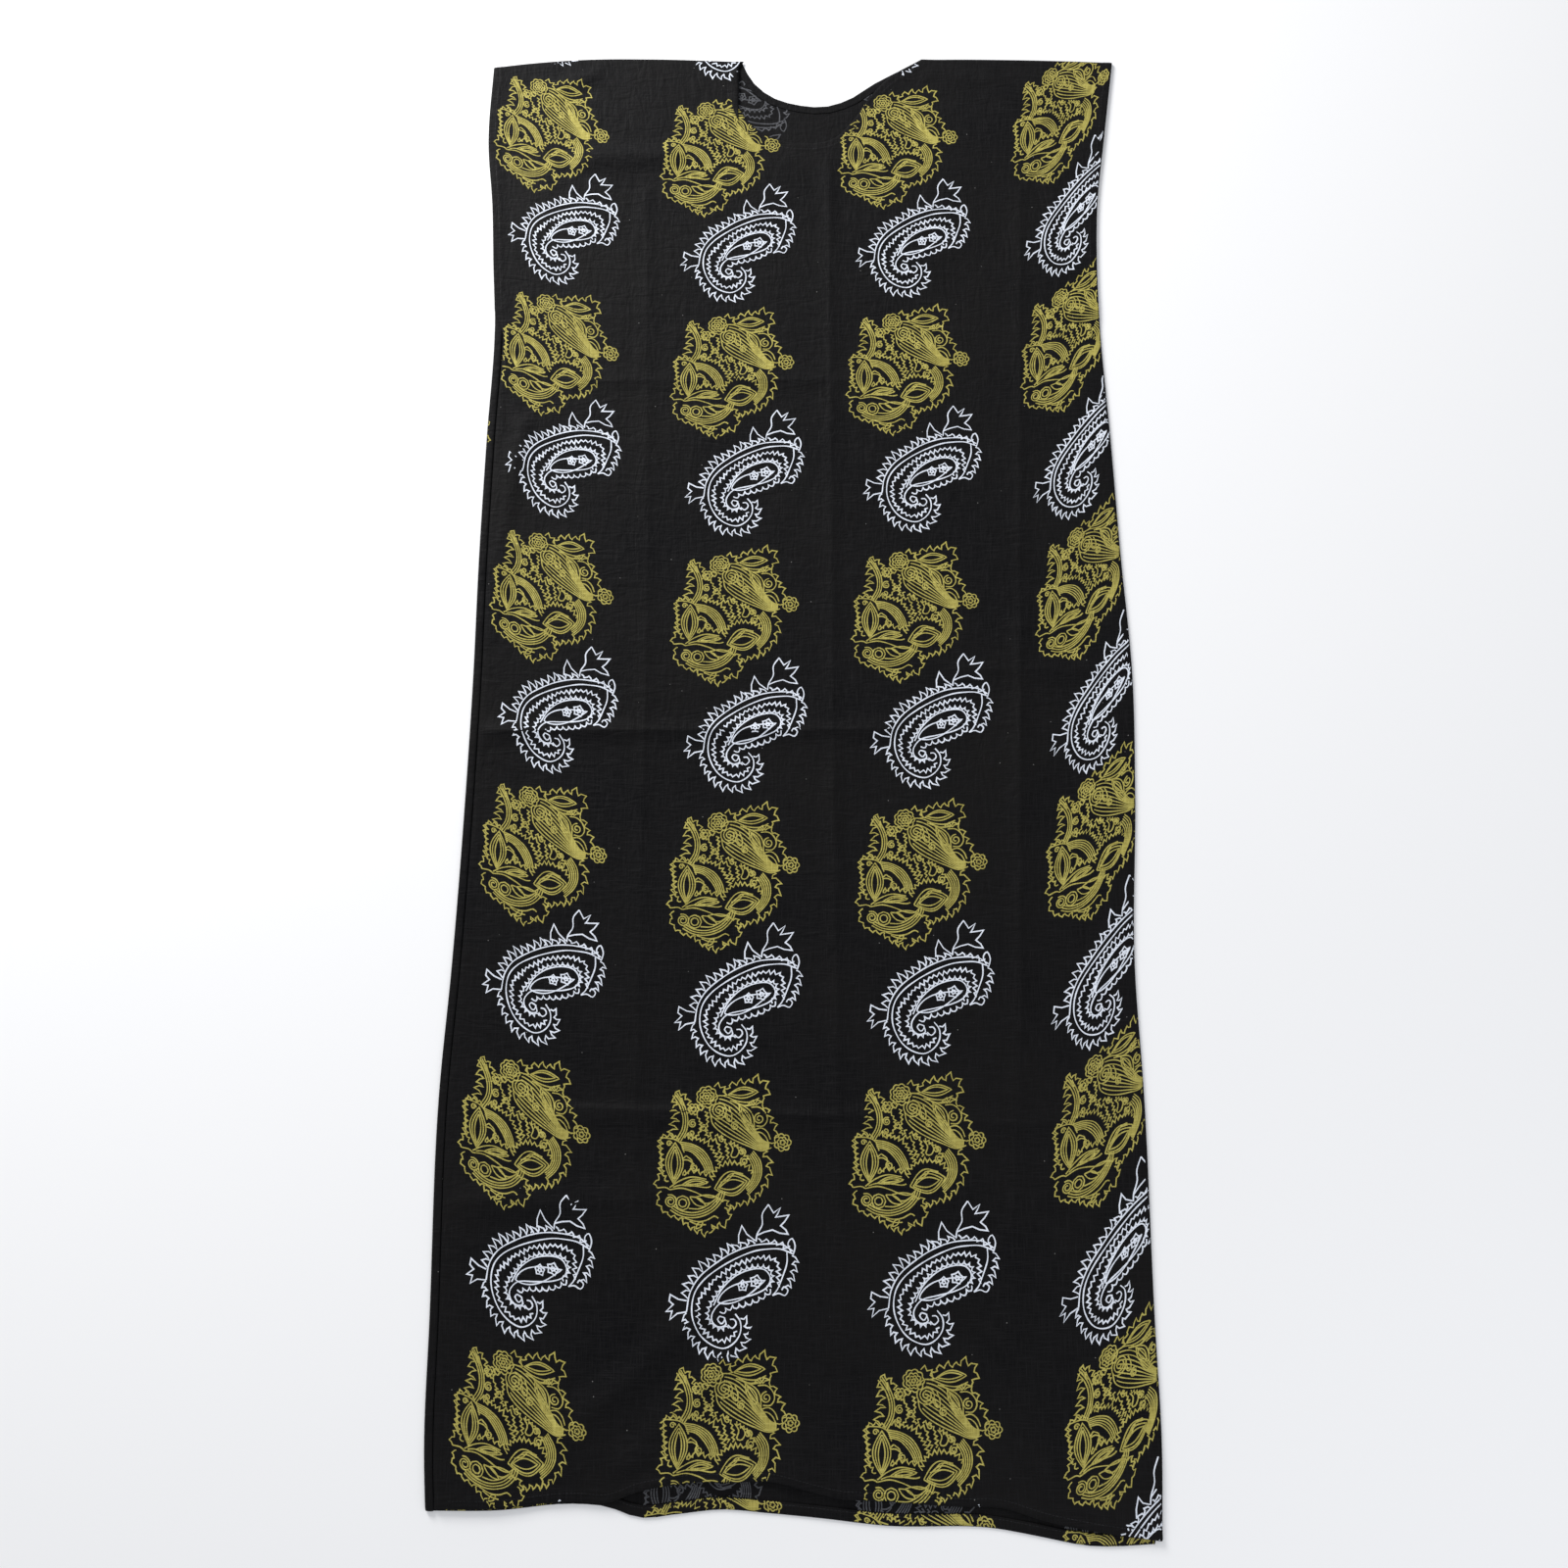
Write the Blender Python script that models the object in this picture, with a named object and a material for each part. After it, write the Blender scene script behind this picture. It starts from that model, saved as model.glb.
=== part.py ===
"""Long sleeveless kaftan dress, laid flat and face up.

The dress is one length of cloth folded over the shoulders, with a scooped neck hole, sewn down both sides
below the armholes and turned up at the hem. Its front lies on its back, which lies flat on the floor.
Metres: +X to the right of the laid dress, +Y from the hem to the shoulders, +Z up from the floor.
"""
from math import ceil, pi

import bmesh
import bpy
import numpy as np

# Cloth walls and how they lie
WALL = 0.0015          # thickness of a panel's wall
GAP = 0.0003           # room left between two pieces that touch
TURN_WALL = 0.0010     # thickness of the turned-up hem
TURN_WIDTH = 0.0110    # how far the hem is turned up inside the back

# Edges: a rounded rim, then a narrow band raised by the cloth turned in under it
RIM = 0.0012           # width of the rounded rim
RIM_DROP = 0.0008      # how far the rim is rounded down
BAND = 0.0100          # width of the turned hem or seam allowance
BAND_RISE = 0.0005     # how far that allowance lifts the cloth over it

# Half the width of the dress where its columns are spaced out
HALF_WIDTH = 0.344

# Heights where the straight rows of a panel start and stop, and the shares of the way from there to the top
BODY_LOW = -0.695
BODY_HIGH = 0.635
TOP_FILLS = (0.3, 0.62)

# How steeply the hem of the neck turns down where it meets the shoulder fold
NECK_CORNER_SLOPE = 1.2

# Folds die out over this distance from a seam
EASE_IN = 0.030


def table(columns, *rows):
    """A table as one array for each named column."""
    return dict(zip(columns, np.array(rows).T))


# Side edges of the laid dress, from the hem up
SIDES = table(
    ("y", "left", "right"),
    (-0.789, -0.354, 0.338),
    (-0.700, -0.360, 0.342),
    (-0.590, -0.360, 0.341),
    (-0.370, -0.360, 0.341),
    (-0.250, -0.353, 0.338),
    (-0.070, -0.346, 0.347),
    (0.055, -0.343, 0.350),
    (0.185, -0.342, 0.344),
    (0.320, -0.339, 0.339),
    (0.460, -0.335, 0.333),
    (0.530, -0.339, 0.333),
    (0.605, -0.343, 0.337),
    (0.679, -0.350, 0.347),
    (0.789, -0.347, 0.3623),
)

# The fold over the shoulders
SHOULDER_FOLD = table(
    ("x", "y"),
    (-0.360, 0.777),
    (-0.308, 0.784),
    (-0.240, 0.789),
    (-0.172, 0.789),
    (-0.063, 0.785),
    (0.143, 0.787),
    (0.283, 0.784),
    (0.364, 0.780),
)

# The two hems, the front one pulled up in the middle so that the inside of the back shows below it
FRONT_HEM = table(
    ("x", "y"),
    (-0.361, -0.757),
    (-0.295, -0.757),
    (-0.217, -0.750),
    (-0.184, -0.751),
    (-0.156, -0.741),
    (-0.120, -0.735),
    (-0.067, -0.733),
    (-0.026, -0.734),
    (0.029, -0.747),
    (0.089, -0.751),
    (0.145, -0.755),
    (0.192, -0.757),
    (0.227, -0.767),
    (0.278, -0.777),
    (0.345, -0.786),
)
BACK_HEM = table(
    ("x", "y"),
    (-0.361, -0.759),
    (-0.295, -0.759),
    (-0.217, -0.753),
    (-0.189, -0.755),
    (-0.156, -0.765),
    (-0.119, -0.762),
    (-0.077, -0.758),
    (-0.036, -0.761),
    (0.020, -0.766),
    (0.075, -0.772),
    (0.186, -0.775),
    (0.227, -0.782),
    (0.268, -0.7894),
    (0.345, -0.788),
)

# The neck hole's edge on each panel, from the left shoulder fold round to the right one
FRONT_NECK = table(
    ("x", "y"),
    (-0.063, 0.785),
    (-0.072, 0.756),
    (-0.066, 0.727),
    (-0.050, 0.702),
    (-0.026, 0.686),
    (0.006, 0.680),
    (0.040, 0.685),
    (0.064, 0.709),
    (0.083, 0.738),
    (0.104, 0.762),
    (0.143, 0.787),
)
BACK_NECK = table(
    ("x", "y"),
    (-0.063, 0.785),
    (-0.052, 0.762),
    (-0.030, 0.741),
    (0.000, 0.730),
    (0.035, 0.728),
    (0.062, 0.738),
    (0.086, 0.755),
    (0.112, 0.770),
    (0.143, 0.787),
)

# Storage creases and soft folds raised in the front, a row for each straight stretch
FRONT_FOLDS = table(
    ("from_x", "from_y", "to_x", "to_y", "half_width", "rise"),
    (0.036, 0.670, 0.035, -0.060, 0.017, 0.0012),
    (0.035, -0.060, 0.040, -0.760, 0.017, 0.0018),
    (0.250, 0.614, 0.233, 0.109, 0.020, 0.0010),
    (0.233, 0.109, 0.220, -0.311, 0.020, 0.0024),
    (0.220, -0.311, 0.198, -0.620, 0.020, 0.0016),
    (-0.169, 0.616, -0.161, 0.110, 0.017, 0.0008),
    (-0.161, 0.110, -0.165, -0.600, 0.017, 0.0012),
    (-0.334, -0.003, 0.090, -0.003, 0.017, 0.0024),
    (0.170, 0.060, 0.304, 0.060, 0.020, 0.0014),
    (-0.240, -0.395, 0.060, -0.395, 0.017, 0.0028),
    (0.160, -0.402, 0.250, -0.402, 0.020, 0.0018),
    (-0.240, 0.390, 0.070, 0.390, 0.017, 0.0012),
    (-0.240, 0.660, -0.140, 0.664, 0.022, 0.0034),
    (-0.335, -0.480, -0.150, -0.472, 0.024, 0.0020),
    (-0.100, -0.585, -0.225, -0.690, 0.026, 0.0034),
    (-0.050, -0.600, -0.160, -0.715, 0.024, 0.0030),
    (-0.285, 0.745, -0.230, 0.775, 0.022, 0.0026),
    (0.154, 0.775, 0.215, 0.758, 0.022, 0.0024),
    (0.215, 0.758, 0.262, 0.700, 0.022, 0.0024),
    (-0.300, 0.340, -0.322, 0.200, 0.018, 0.0026),
    (-0.322, 0.200, -0.330, 0.100, 0.018, 0.0020),
    (-0.150, -0.750, -0.120, -0.715, 0.030, 0.0034),
    (-0.075, -0.755, -0.060, -0.700, 0.032, 0.0048),
    (-0.010, -0.755, -0.005, -0.705, 0.026, 0.0032),
)

# Creases that the grid of the front has three lines for: place of the middle one, and how far off the others
CREASE_COLUMNS = ((-0.165, 0.017), (0.037, 0.017), (0.205, 0.013), (0.235, 0.017))
CREASE_ROWS = ((-0.475, 0.020), (-0.398, 0.018), (-0.003, 0.017), (0.060, 0.018), (0.390, 0.017))

# Widest spacing of a panel's columns and rows, and of the turned-up hem's points
FRONT_SPACING = (0.040, 0.062)
BACK_SPACING = (0.075, 0.190)
TURN_SPACING = 0.025
TURN_SIDE_ROOM = 0.005

# Broad low swells of the cloth between its creases
SWELL = 0.0005
SWELL_LENGTH = 0.210
SWELL_TURN = 5.0

BLACK_COTTON = (0.013, 0.013, 0.016, 1.0)
COTTON_ROUGHNESS = 0.86


def through(places, values, at):
    """Reads values at a place, on a smooth curve through the rows of a table."""
    slopes = np.gradient(values, places)
    row = int(np.clip(np.searchsorted(places, at) - 1, 0, len(places) - 2))
    span = places[row + 1] - places[row]
    share = np.clip((at - places[row]) / span, 0.0, 1.0)
    rest = 1.0 - share
    start = values[row] * (1 + 2 * share) + span * slopes[row] * share
    end = values[row + 1] * (1 + 2 * rest) - span * slopes[row + 1] * rest
    return float(start * rest * rest + end * share * share)


def ease(share):
    """A soft step from 0 to 1."""
    share = np.clip(share, 0.0, 1.0)
    return share * share * (3 - 2 * share)


def side_edges(y):
    """The x of the left and the right edge at a height of the dress."""
    return through(SIDES["y"], SIDES["left"], y), through(SIDES["y"], SIDES["right"], y)


def column_x(column, y):
    """Where a column of the grid runs at a height: in from one side edge, or at a share of the width."""
    start, amount = column
    left, right = side_edges(y)
    if start == "left":
        return left + amount
    if start == "right":
        return right - amount
    return left + (right - left) * (amount + HALF_WIDTH) / (2 * HALF_WIDTH)


def grid_lines(low, high, creases, spacing):
    """Places from low to high: three at each crease, and the rest no further apart than the spacing."""
    marks = [low, high]
    for centre, half in creases:
        marks += [centre - half, centre, centre + half]
    marks = sorted(mark for mark in marks if low <= mark <= high)
    lines = []
    for start, end in zip(marks, marks[1:]):
        parts = max(1, ceil((end - start) / spacing))
        lines += [start + (end - start) * part / parts for part in range(parts)]
    return lines + [high]


def neck_points(neck, shares):
    """Points at the given shares of a neckline's length, each with its direction away from the hole."""
    steps = np.hypot(np.diff(neck["x"]), np.diff(neck["y"]))
    lengths = np.concatenate(([0.0], np.cumsum(steps))) / steps.sum()
    points = np.array([[through(lengths, neck[axis], share) for axis in "xy"] for share in shares])
    ways = np.gradient(points, axis=0)
    outward = np.column_stack((ways[:, 1], -ways[:, 0]))
    outward[0] = (-1.0, -NECK_CORNER_SLOPE)
    outward[-1] = (1.0, -NECK_CORNER_SLOPE)
    return points, outward / np.linalg.norm(outward, axis=1)[:, None]


def panel_plan(hem, neck, creases, spacing, bands):
    """The plan of a panel: rows of x, y from the hem up, each from the left edge to the right.

    bands are the distances in from the edge of the rings that follow it. The neck hole is cut by ending the
    columns between the shoulders on the neckline.
    """
    crease_columns, crease_rows = creases
    reach = HALF_WIDTH - bands[-1] - RIM * 10
    neck_left, neck_right = neck["x"][0], neck["x"][-1]
    outer_left = grid_lines(-reach, neck_left, crease_columns, spacing[0])
    inner = grid_lines(neck_left, neck_right, crease_columns, spacing[0] / 2)
    outer_right = grid_lines(neck_right, reach, crease_columns, spacing[0])
    columns = [("left", band) for band in bands]
    columns += [("width", x) for x in outer_left[:-1] + inner + outer_right[1:]]
    columns += [("right", band) for band in reversed(bands)]
    first_neck = len(bands) + len(outer_left) - 1
    edge, outward = neck_points(neck, [(x - neck_left) / (neck_right - neck_left) for x in inner])
    body = grid_lines(BODY_LOW, BODY_HIGH, crease_rows, spacing[1])

    plan = []
    for rank, column in enumerate(columns):
        foot_y = through(hem["x"], hem["y"], column_x(column, BODY_LOW))
        foot = [foot_y + band for band in bands]
        foot.append((foot[-1] + BODY_LOW) / 2)
        points = [(column_x(column, y), y) for y in foot + body]
        start = np.array(points[-1])
        if 0 <= rank - first_neck < len(inner):
            top, away = edge[rank - first_neck], outward[rank - first_neck]
            ring = [top + away * band for band in reversed(bands)]
        else:
            top_y = through(SHOULDER_FOLD["x"], SHOULDER_FOLD["y"], column_x(column, BODY_HIGH))
            ring = [np.array((column_x(column, top_y - band), top_y - band)) for band in reversed(bands)]
        points += [start + (ring[0] - start) * fill for fill in TOP_FILLS]
        plan.append(points + ring)
    return np.array(plan).transpose(1, 0, 2)


def fold_height(x, y):
    """Height that the creases and folds give the front at a point of the plan."""
    run_x = FRONT_FOLDS["to_x"] - FRONT_FOLDS["from_x"]
    run_y = FRONT_FOLDS["to_y"] - FRONT_FOLDS["from_y"]
    off_x = x - FRONT_FOLDS["from_x"]
    off_y = y - FRONT_FOLDS["from_y"]
    share = np.clip((off_x * run_x + off_y * run_y) / (run_x ** 2 + run_y ** 2), 0.0, 1.0)
    away = np.hypot(off_x - share * run_x, off_y - share * run_y)
    angle = np.clip(away / FRONT_FOLDS["half_width"], 0.0, 1.0) * pi / 2
    across_swell = np.sin(x / SWELL_LENGTH * 2 * pi + y * SWELL_TURN)
    swell = SWELL * (1 + across_swell * np.cos(y / SWELL_LENGTH * 2 * pi))
    return float((FRONT_FOLDS["rise"] * np.cos(angle) ** 2).max()) + swell


def front_underside(x, y):
    """Height of the front's underside: on the back, over the turned-up hem, and raised in its folds."""
    left, right = side_edges(y)
    from_seam = min(x - left, right - x, through(SHOULDER_FOLD["x"], SHOULDER_FOLD["y"], x) - y)
    over_turn = (TURN_WALL + GAP) * ease((BODY_LOW - y) / EASE_IN)
    return WALL + GAP + over_turn + fold_height(x, y) * ease(from_seam / EASE_IN)


def ring_of(row, column, shape, rings):
    """How many rings in from the nearest edge a grid point is, at most the number of rings."""
    return min(row, column, shape[0] - 1 - row, shape[1] - 1 - column, rings)


def wall_body(name, upper, lower):
    """Closes two grids of points, one over the other, into one wall, and adds it as an object."""
    rows, columns = upper.shape[:2]
    mesh = bpy.data.meshes.new(name)
    shape = bmesh.new()
    top = [[shape.verts.new(point) for point in line] for line in upper]
    bottom = [[shape.verts.new(point) for point in line] for line in lower]
    for row in range(rows - 1):
        for col in range(columns - 1):
            shape.faces.new((top[row][col], top[row][col + 1], top[row + 1][col + 1], top[row + 1][col]))
            under = (bottom[row][col], bottom[row + 1][col], bottom[row + 1][col + 1], bottom[row][col + 1])
            shape.faces.new(under)
    border = [(0, col) for col in range(columns)]
    border += [(row, columns - 1) for row in range(1, rows)]
    border += [(rows - 1, col) for col in range(columns - 2, -1, -1)]
    border += [(row, 0) for row in range(rows - 2, 0, -1)]
    for (row, col), (next_row, next_col) in zip(border, border[1:] + border[:1]):
        corners = (bottom[row][col], bottom[next_row][next_col], top[next_row][next_col], top[row][col])
        shape.faces.new(corners)
    bmesh.ops.triangulate(shape, faces=shape.faces)
    bmesh.ops.recalc_face_normals(shape, faces=shape.faces)
    shape.to_mesh(mesh)
    shape.free()
    mesh.shade_smooth()
    mesh.set_sharp_from_angle(angle=pi / 5)
    body = bpy.data.objects.new(name, mesh)
    bpy.context.scene.collection.objects.link(body)
    return body


def cotton(name):
    """Matt near-black cotton, one material for each piece."""
    material = bpy.data.materials.new(name)
    material.use_nodes = True
    shader = material.node_tree.nodes["Principled BSDF"]
    shader.inputs["Base Color"].default_value = BLACK_COTTON
    shader.inputs["Roughness"].default_value = COTTON_ROUGHNESS
    shader.inputs["Metallic"].default_value = 0.0
    return material


def front_panel():
    """The front: creased, with raised hems round its neck, armholes and hem."""
    bands = (0.0, RIM, BAND, BAND + RIM)
    rises = (-RIM_DROP, BAND_RISE, BAND_RISE, 0.0)
    plan = panel_plan(FRONT_HEM, FRONT_NECK, (CREASE_COLUMNS, CREASE_ROWS), FRONT_SPACING, bands)
    rows, columns = plan.shape[:2]
    lower = np.array([[(x, y, front_underside(x, y)) for x, y in line] for line in plan])
    upper = lower.copy()
    for row, column in np.ndindex(rows, columns):
        upper[row, column, 2] += WALL + rises[ring_of(row, column, (rows, columns), len(bands) - 1)]
    return wall_body("front_panel", upper, lower)


def back_panel():
    """The back: flat on the floor, with its rim rounded up from it."""
    plan = panel_plan(BACK_HEM, BACK_NECK, ((), ()), BACK_SPACING, (0.0, RIM))
    rows, columns = plan.shape[:2]
    lower = np.array([[(x, y, 0.0) for x, y in line] for line in plan])
    upper = lower + (0.0, 0.0, WALL)
    for row, column in np.ndindex(rows, columns):
        if ring_of(row, column, (rows, columns), 1) == 0:
            lower[row, column, 2] = RIM_DROP
    return wall_body("back_panel", upper, lower)


def back_hem_turnup():
    """The back's own hem turned up inside it, made from the hem's points and moved up off the panel."""
    left, right = side_edges(BACK_HEM["y"][0])
    places = grid_lines(left + TURN_SIDE_ROOM, right - TURN_SIDE_ROOM, (), TURN_SPACING)
    hem = [(x, through(BACK_HEM["x"], BACK_HEM["y"], x)) for x in places]
    in_from_edge = (RIM, RIM * 2, TURN_WIDTH)
    lower = np.array([[(x, y + off, WALL + GAP) for x, y in hem] for off in in_from_edge])
    upper = lower + (0.0, 0.0, TURN_WALL)
    upper[0, :, 2] -= TURN_WALL / 3
    return wall_body("back_hem_turnup", upper, lower)


def build():
    """Clears the scene and adds each piece with its material."""
    for old in list(bpy.data.objects):
        bpy.data.objects.remove(old, do_unlink=True)
    for piece in (front_panel(), back_panel(), back_hem_turnup()):
        piece.data.materials.append(cotton(piece.name + "_cotton"))


build()
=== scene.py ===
"""Long sleeveless kaftan dress of black printed cotton, laid flat and face up on a pale floor.

Metres throughout: +X to the right of the laid dress, +Y from the hem to the shoulders, +Z up from the floor.
The print is drawn as line art in millimetres about the middle of each motif.
"""
from math import ceil, cos, pi, sin

import bpy
import numpy as np
from mathutils import Matrix, Vector
from mathutils.bvhtree import BVHTree


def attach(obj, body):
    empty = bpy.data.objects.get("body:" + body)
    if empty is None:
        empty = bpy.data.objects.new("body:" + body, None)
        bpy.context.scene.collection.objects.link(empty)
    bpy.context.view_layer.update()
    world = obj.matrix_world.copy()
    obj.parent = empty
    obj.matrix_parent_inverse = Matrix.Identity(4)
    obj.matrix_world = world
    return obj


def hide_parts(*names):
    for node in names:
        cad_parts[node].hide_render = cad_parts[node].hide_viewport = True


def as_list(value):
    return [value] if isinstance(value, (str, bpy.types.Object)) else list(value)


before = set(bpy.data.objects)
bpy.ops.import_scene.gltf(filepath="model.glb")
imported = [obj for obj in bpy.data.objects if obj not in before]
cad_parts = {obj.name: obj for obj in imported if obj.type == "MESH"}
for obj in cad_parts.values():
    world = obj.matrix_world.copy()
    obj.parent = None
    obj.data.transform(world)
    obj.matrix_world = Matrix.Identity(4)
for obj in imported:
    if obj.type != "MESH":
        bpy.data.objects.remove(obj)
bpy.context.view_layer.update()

MM = 0.001
CLOTH = 0.00035          # thickness of the cotton
FLOOR_GAP = 0.00015      # the back's right side lies this far off the floor
BASE = 0.0033            # height of the front's face where it lies flat
OVER_TURN = 0.0008       # how much higher it lies over the back's turned-up hem
ARMHOLE_FOOT = 0.475     # the side seams end here and the armholes start
SEAM_FADE = 0.030        # length over which a seam runs out into an armhole
FOLD_FADE = 0.014        # length over which the shoulder fold turns into the neck's hem
BODY_LOW = -0.695        # straight rows of the grid start here
BODY_HIGH = 0.635        # and stop here
FOOT_DEPTH = 0.050       # rough depth of the rows between the hem and the straight rows
HEAD_DEPTH = 0.140       # rough depth of the rows between the straight rows and the shoulders
NECK_LEAN = 7            # how many columns beside the neck lean over to meet its ends
NECK_SETTLES = 0.0010    # how much lower the front lies at the neck's hem
LOWEST = 0.00012         # nothing of the cloth lies lower than this


def table(columns, *rows):
    """A table as one array for each named column."""
    return dict(zip(columns, np.array(rows, float).T))


# Side edges of the laid dress, from the hem up
SIDES = table(
    ("y", "left", "right"),
    (-0.789, -0.354, 0.338),
    (-0.700, -0.360, 0.342),
    (-0.590, -0.360, 0.341),
    (-0.370, -0.360, 0.341),
    (-0.250, -0.353, 0.338),
    (-0.070, -0.346, 0.347),
    (0.055, -0.343, 0.350),
    (0.185, -0.342, 0.344),
    (0.320, -0.339, 0.339),
    (0.460, -0.335, 0.333),
    (0.530, -0.339, 0.333),
    (0.605, -0.343, 0.337),
    (0.679, -0.350, 0.347),
    (0.789, -0.347, 0.3623),
)

# The fold over the shoulders, the two hems, and the neck hole's edge on the front and on the back
SHOULDER_FOLD = table(
    ("x", "y"),
    (-0.360, 0.777), (-0.308, 0.784), (-0.240, 0.789), (-0.172, 0.789),
    (-0.063, 0.785), (0.143, 0.787), (0.283, 0.784), (0.364, 0.780),
)
FRONT_HEM = table(
    ("x", "y"),
    (-0.361, -0.757), (-0.295, -0.757), (-0.217, -0.750), (-0.184, -0.751), (-0.156, -0.741),
    (-0.120, -0.735), (-0.067, -0.733), (-0.026, -0.734), (0.029, -0.747), (0.089, -0.751),
    (0.145, -0.755), (0.192, -0.757), (0.227, -0.767), (0.278, -0.777), (0.345, -0.786),
)
BACK_HEM = table(
    ("x", "y"),
    (-0.361, -0.759), (-0.295, -0.759), (-0.217, -0.753), (-0.189, -0.755), (-0.156, -0.765),
    (-0.119, -0.762), (-0.077, -0.758), (-0.036, -0.761), (0.020, -0.766), (0.075, -0.772),
    (0.186, -0.775), (0.227, -0.782), (0.268, -0.7894), (0.345, -0.788),
)
FRONT_NECK = table(
    ("x", "y"),
    (-0.063, 0.785), (-0.072, 0.756), (-0.066, 0.727), (-0.050, 0.702), (-0.026, 0.686), (0.006, 0.680),
    (0.040, 0.685), (0.064, 0.709), (0.083, 0.738), (0.104, 0.762), (0.143, 0.787),
)
BACK_NECK = table(
    ("x", "y"),
    (-0.063, 0.785), (-0.052, 0.762), (-0.030, 0.741), (0.000, 0.730), (0.035, 0.728),
    (0.062, 0.738), (0.086, 0.755), (0.112, 0.770), (0.143, 0.787),
)

# Lines that the grid's columns follow between the side edges: storage creases and the two ends of the neck
COLUMN_GUIDES = (
    table(("y", "x"), (-0.790, -0.166), (-0.600, -0.165), (0.110, -0.161), (0.616, -0.169), (0.790, -0.170)),
    table(("y", "x"), (-0.790, -0.060), (0.790, -0.063)),
    table(("y", "x"), (-0.790, 0.040), (-0.060, 0.035), (0.670, 0.036), (0.790, 0.037)),
    table(("y", "x"), (-0.790, 0.120), (-0.300, 0.128), (0.790, 0.143)),
    table(("y", "x"), (-0.790, 0.190), (-0.620, 0.198), (-0.311, 0.220), (0.109, 0.233), (0.614, 0.250),
          (0.790, 0.255)),
)
NECK_GUIDES = (1, 3)
# Heights of the crease rows at x = 0, with their slope across the dress
ROW_GUIDES = ((BODY_LOW, 0.0), (-0.476, 0.0), (-0.3945, -0.038), (-0.003, 0.0), (0.061, 0.0), (0.390, 0.0),
              (BODY_HIGH, 0.0))
CREASE_ROWS = (1, 2, 3, 4, 5)
# Extra grid lines either side of a crease, in metres
CREASE_STEPS = (0.0012, 0.0028, 0.0055)

# Folds that lift the front off the back, a row for each straight stretch
MAIN_FOLDS = table(
    ("from_x", "from_y", "to_x", "to_y", "half_width", "rise"),
    (0.036, 0.670, 0.035, -0.060, 0.017, 0.0012),
    (0.035, -0.060, 0.040, -0.760, 0.017, 0.0018),
    (0.250, 0.614, 0.233, 0.109, 0.020, 0.0010),
    (0.233, 0.109, 0.220, -0.311, 0.020, 0.0024),
    (0.220, -0.311, 0.198, -0.620, 0.020, 0.0016),
    (-0.169, 0.616, -0.161, 0.110, 0.017, 0.0008),
    (-0.161, 0.110, -0.165, -0.600, 0.017, 0.0012),
    (-0.334, -0.003, 0.090, -0.003, 0.017, 0.0024),
    (0.170, 0.060, 0.304, 0.060, 0.020, 0.0014),
    (-0.240, -0.395, 0.060, -0.395, 0.017, 0.0028),
    (0.160, -0.402, 0.250, -0.402, 0.020, 0.0018),
    (-0.240, 0.390, 0.070, 0.390, 0.017, 0.0012),
    (-0.240, 0.660, -0.140, 0.664, 0.022, 0.0034),
    (-0.335, -0.480, -0.150, -0.472, 0.024, 0.0020),
    (-0.100, -0.585, -0.225, -0.690, 0.026, 0.0034),
    (-0.050, -0.600, -0.160, -0.715, 0.024, 0.0030),
    (-0.285, 0.745, -0.230, 0.775, 0.022, 0.0026),
    (0.154, 0.775, 0.215, 0.758, 0.022, 0.0024),
    (0.215, 0.758, 0.262, 0.700, 0.022, 0.0024),
    (-0.300, 0.340, -0.322, 0.200, 0.018, 0.0026),
    (-0.322, 0.200, -0.330, 0.100, 0.018, 0.0020),
    (-0.150, -0.750, -0.120, -0.715, 0.030, 0.0034),
    (-0.075, -0.755, -0.060, -0.700, 0.032, 0.0048),
    (-0.010, -0.755, -0.005, -0.705, 0.026, 0.0032),
)

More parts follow.
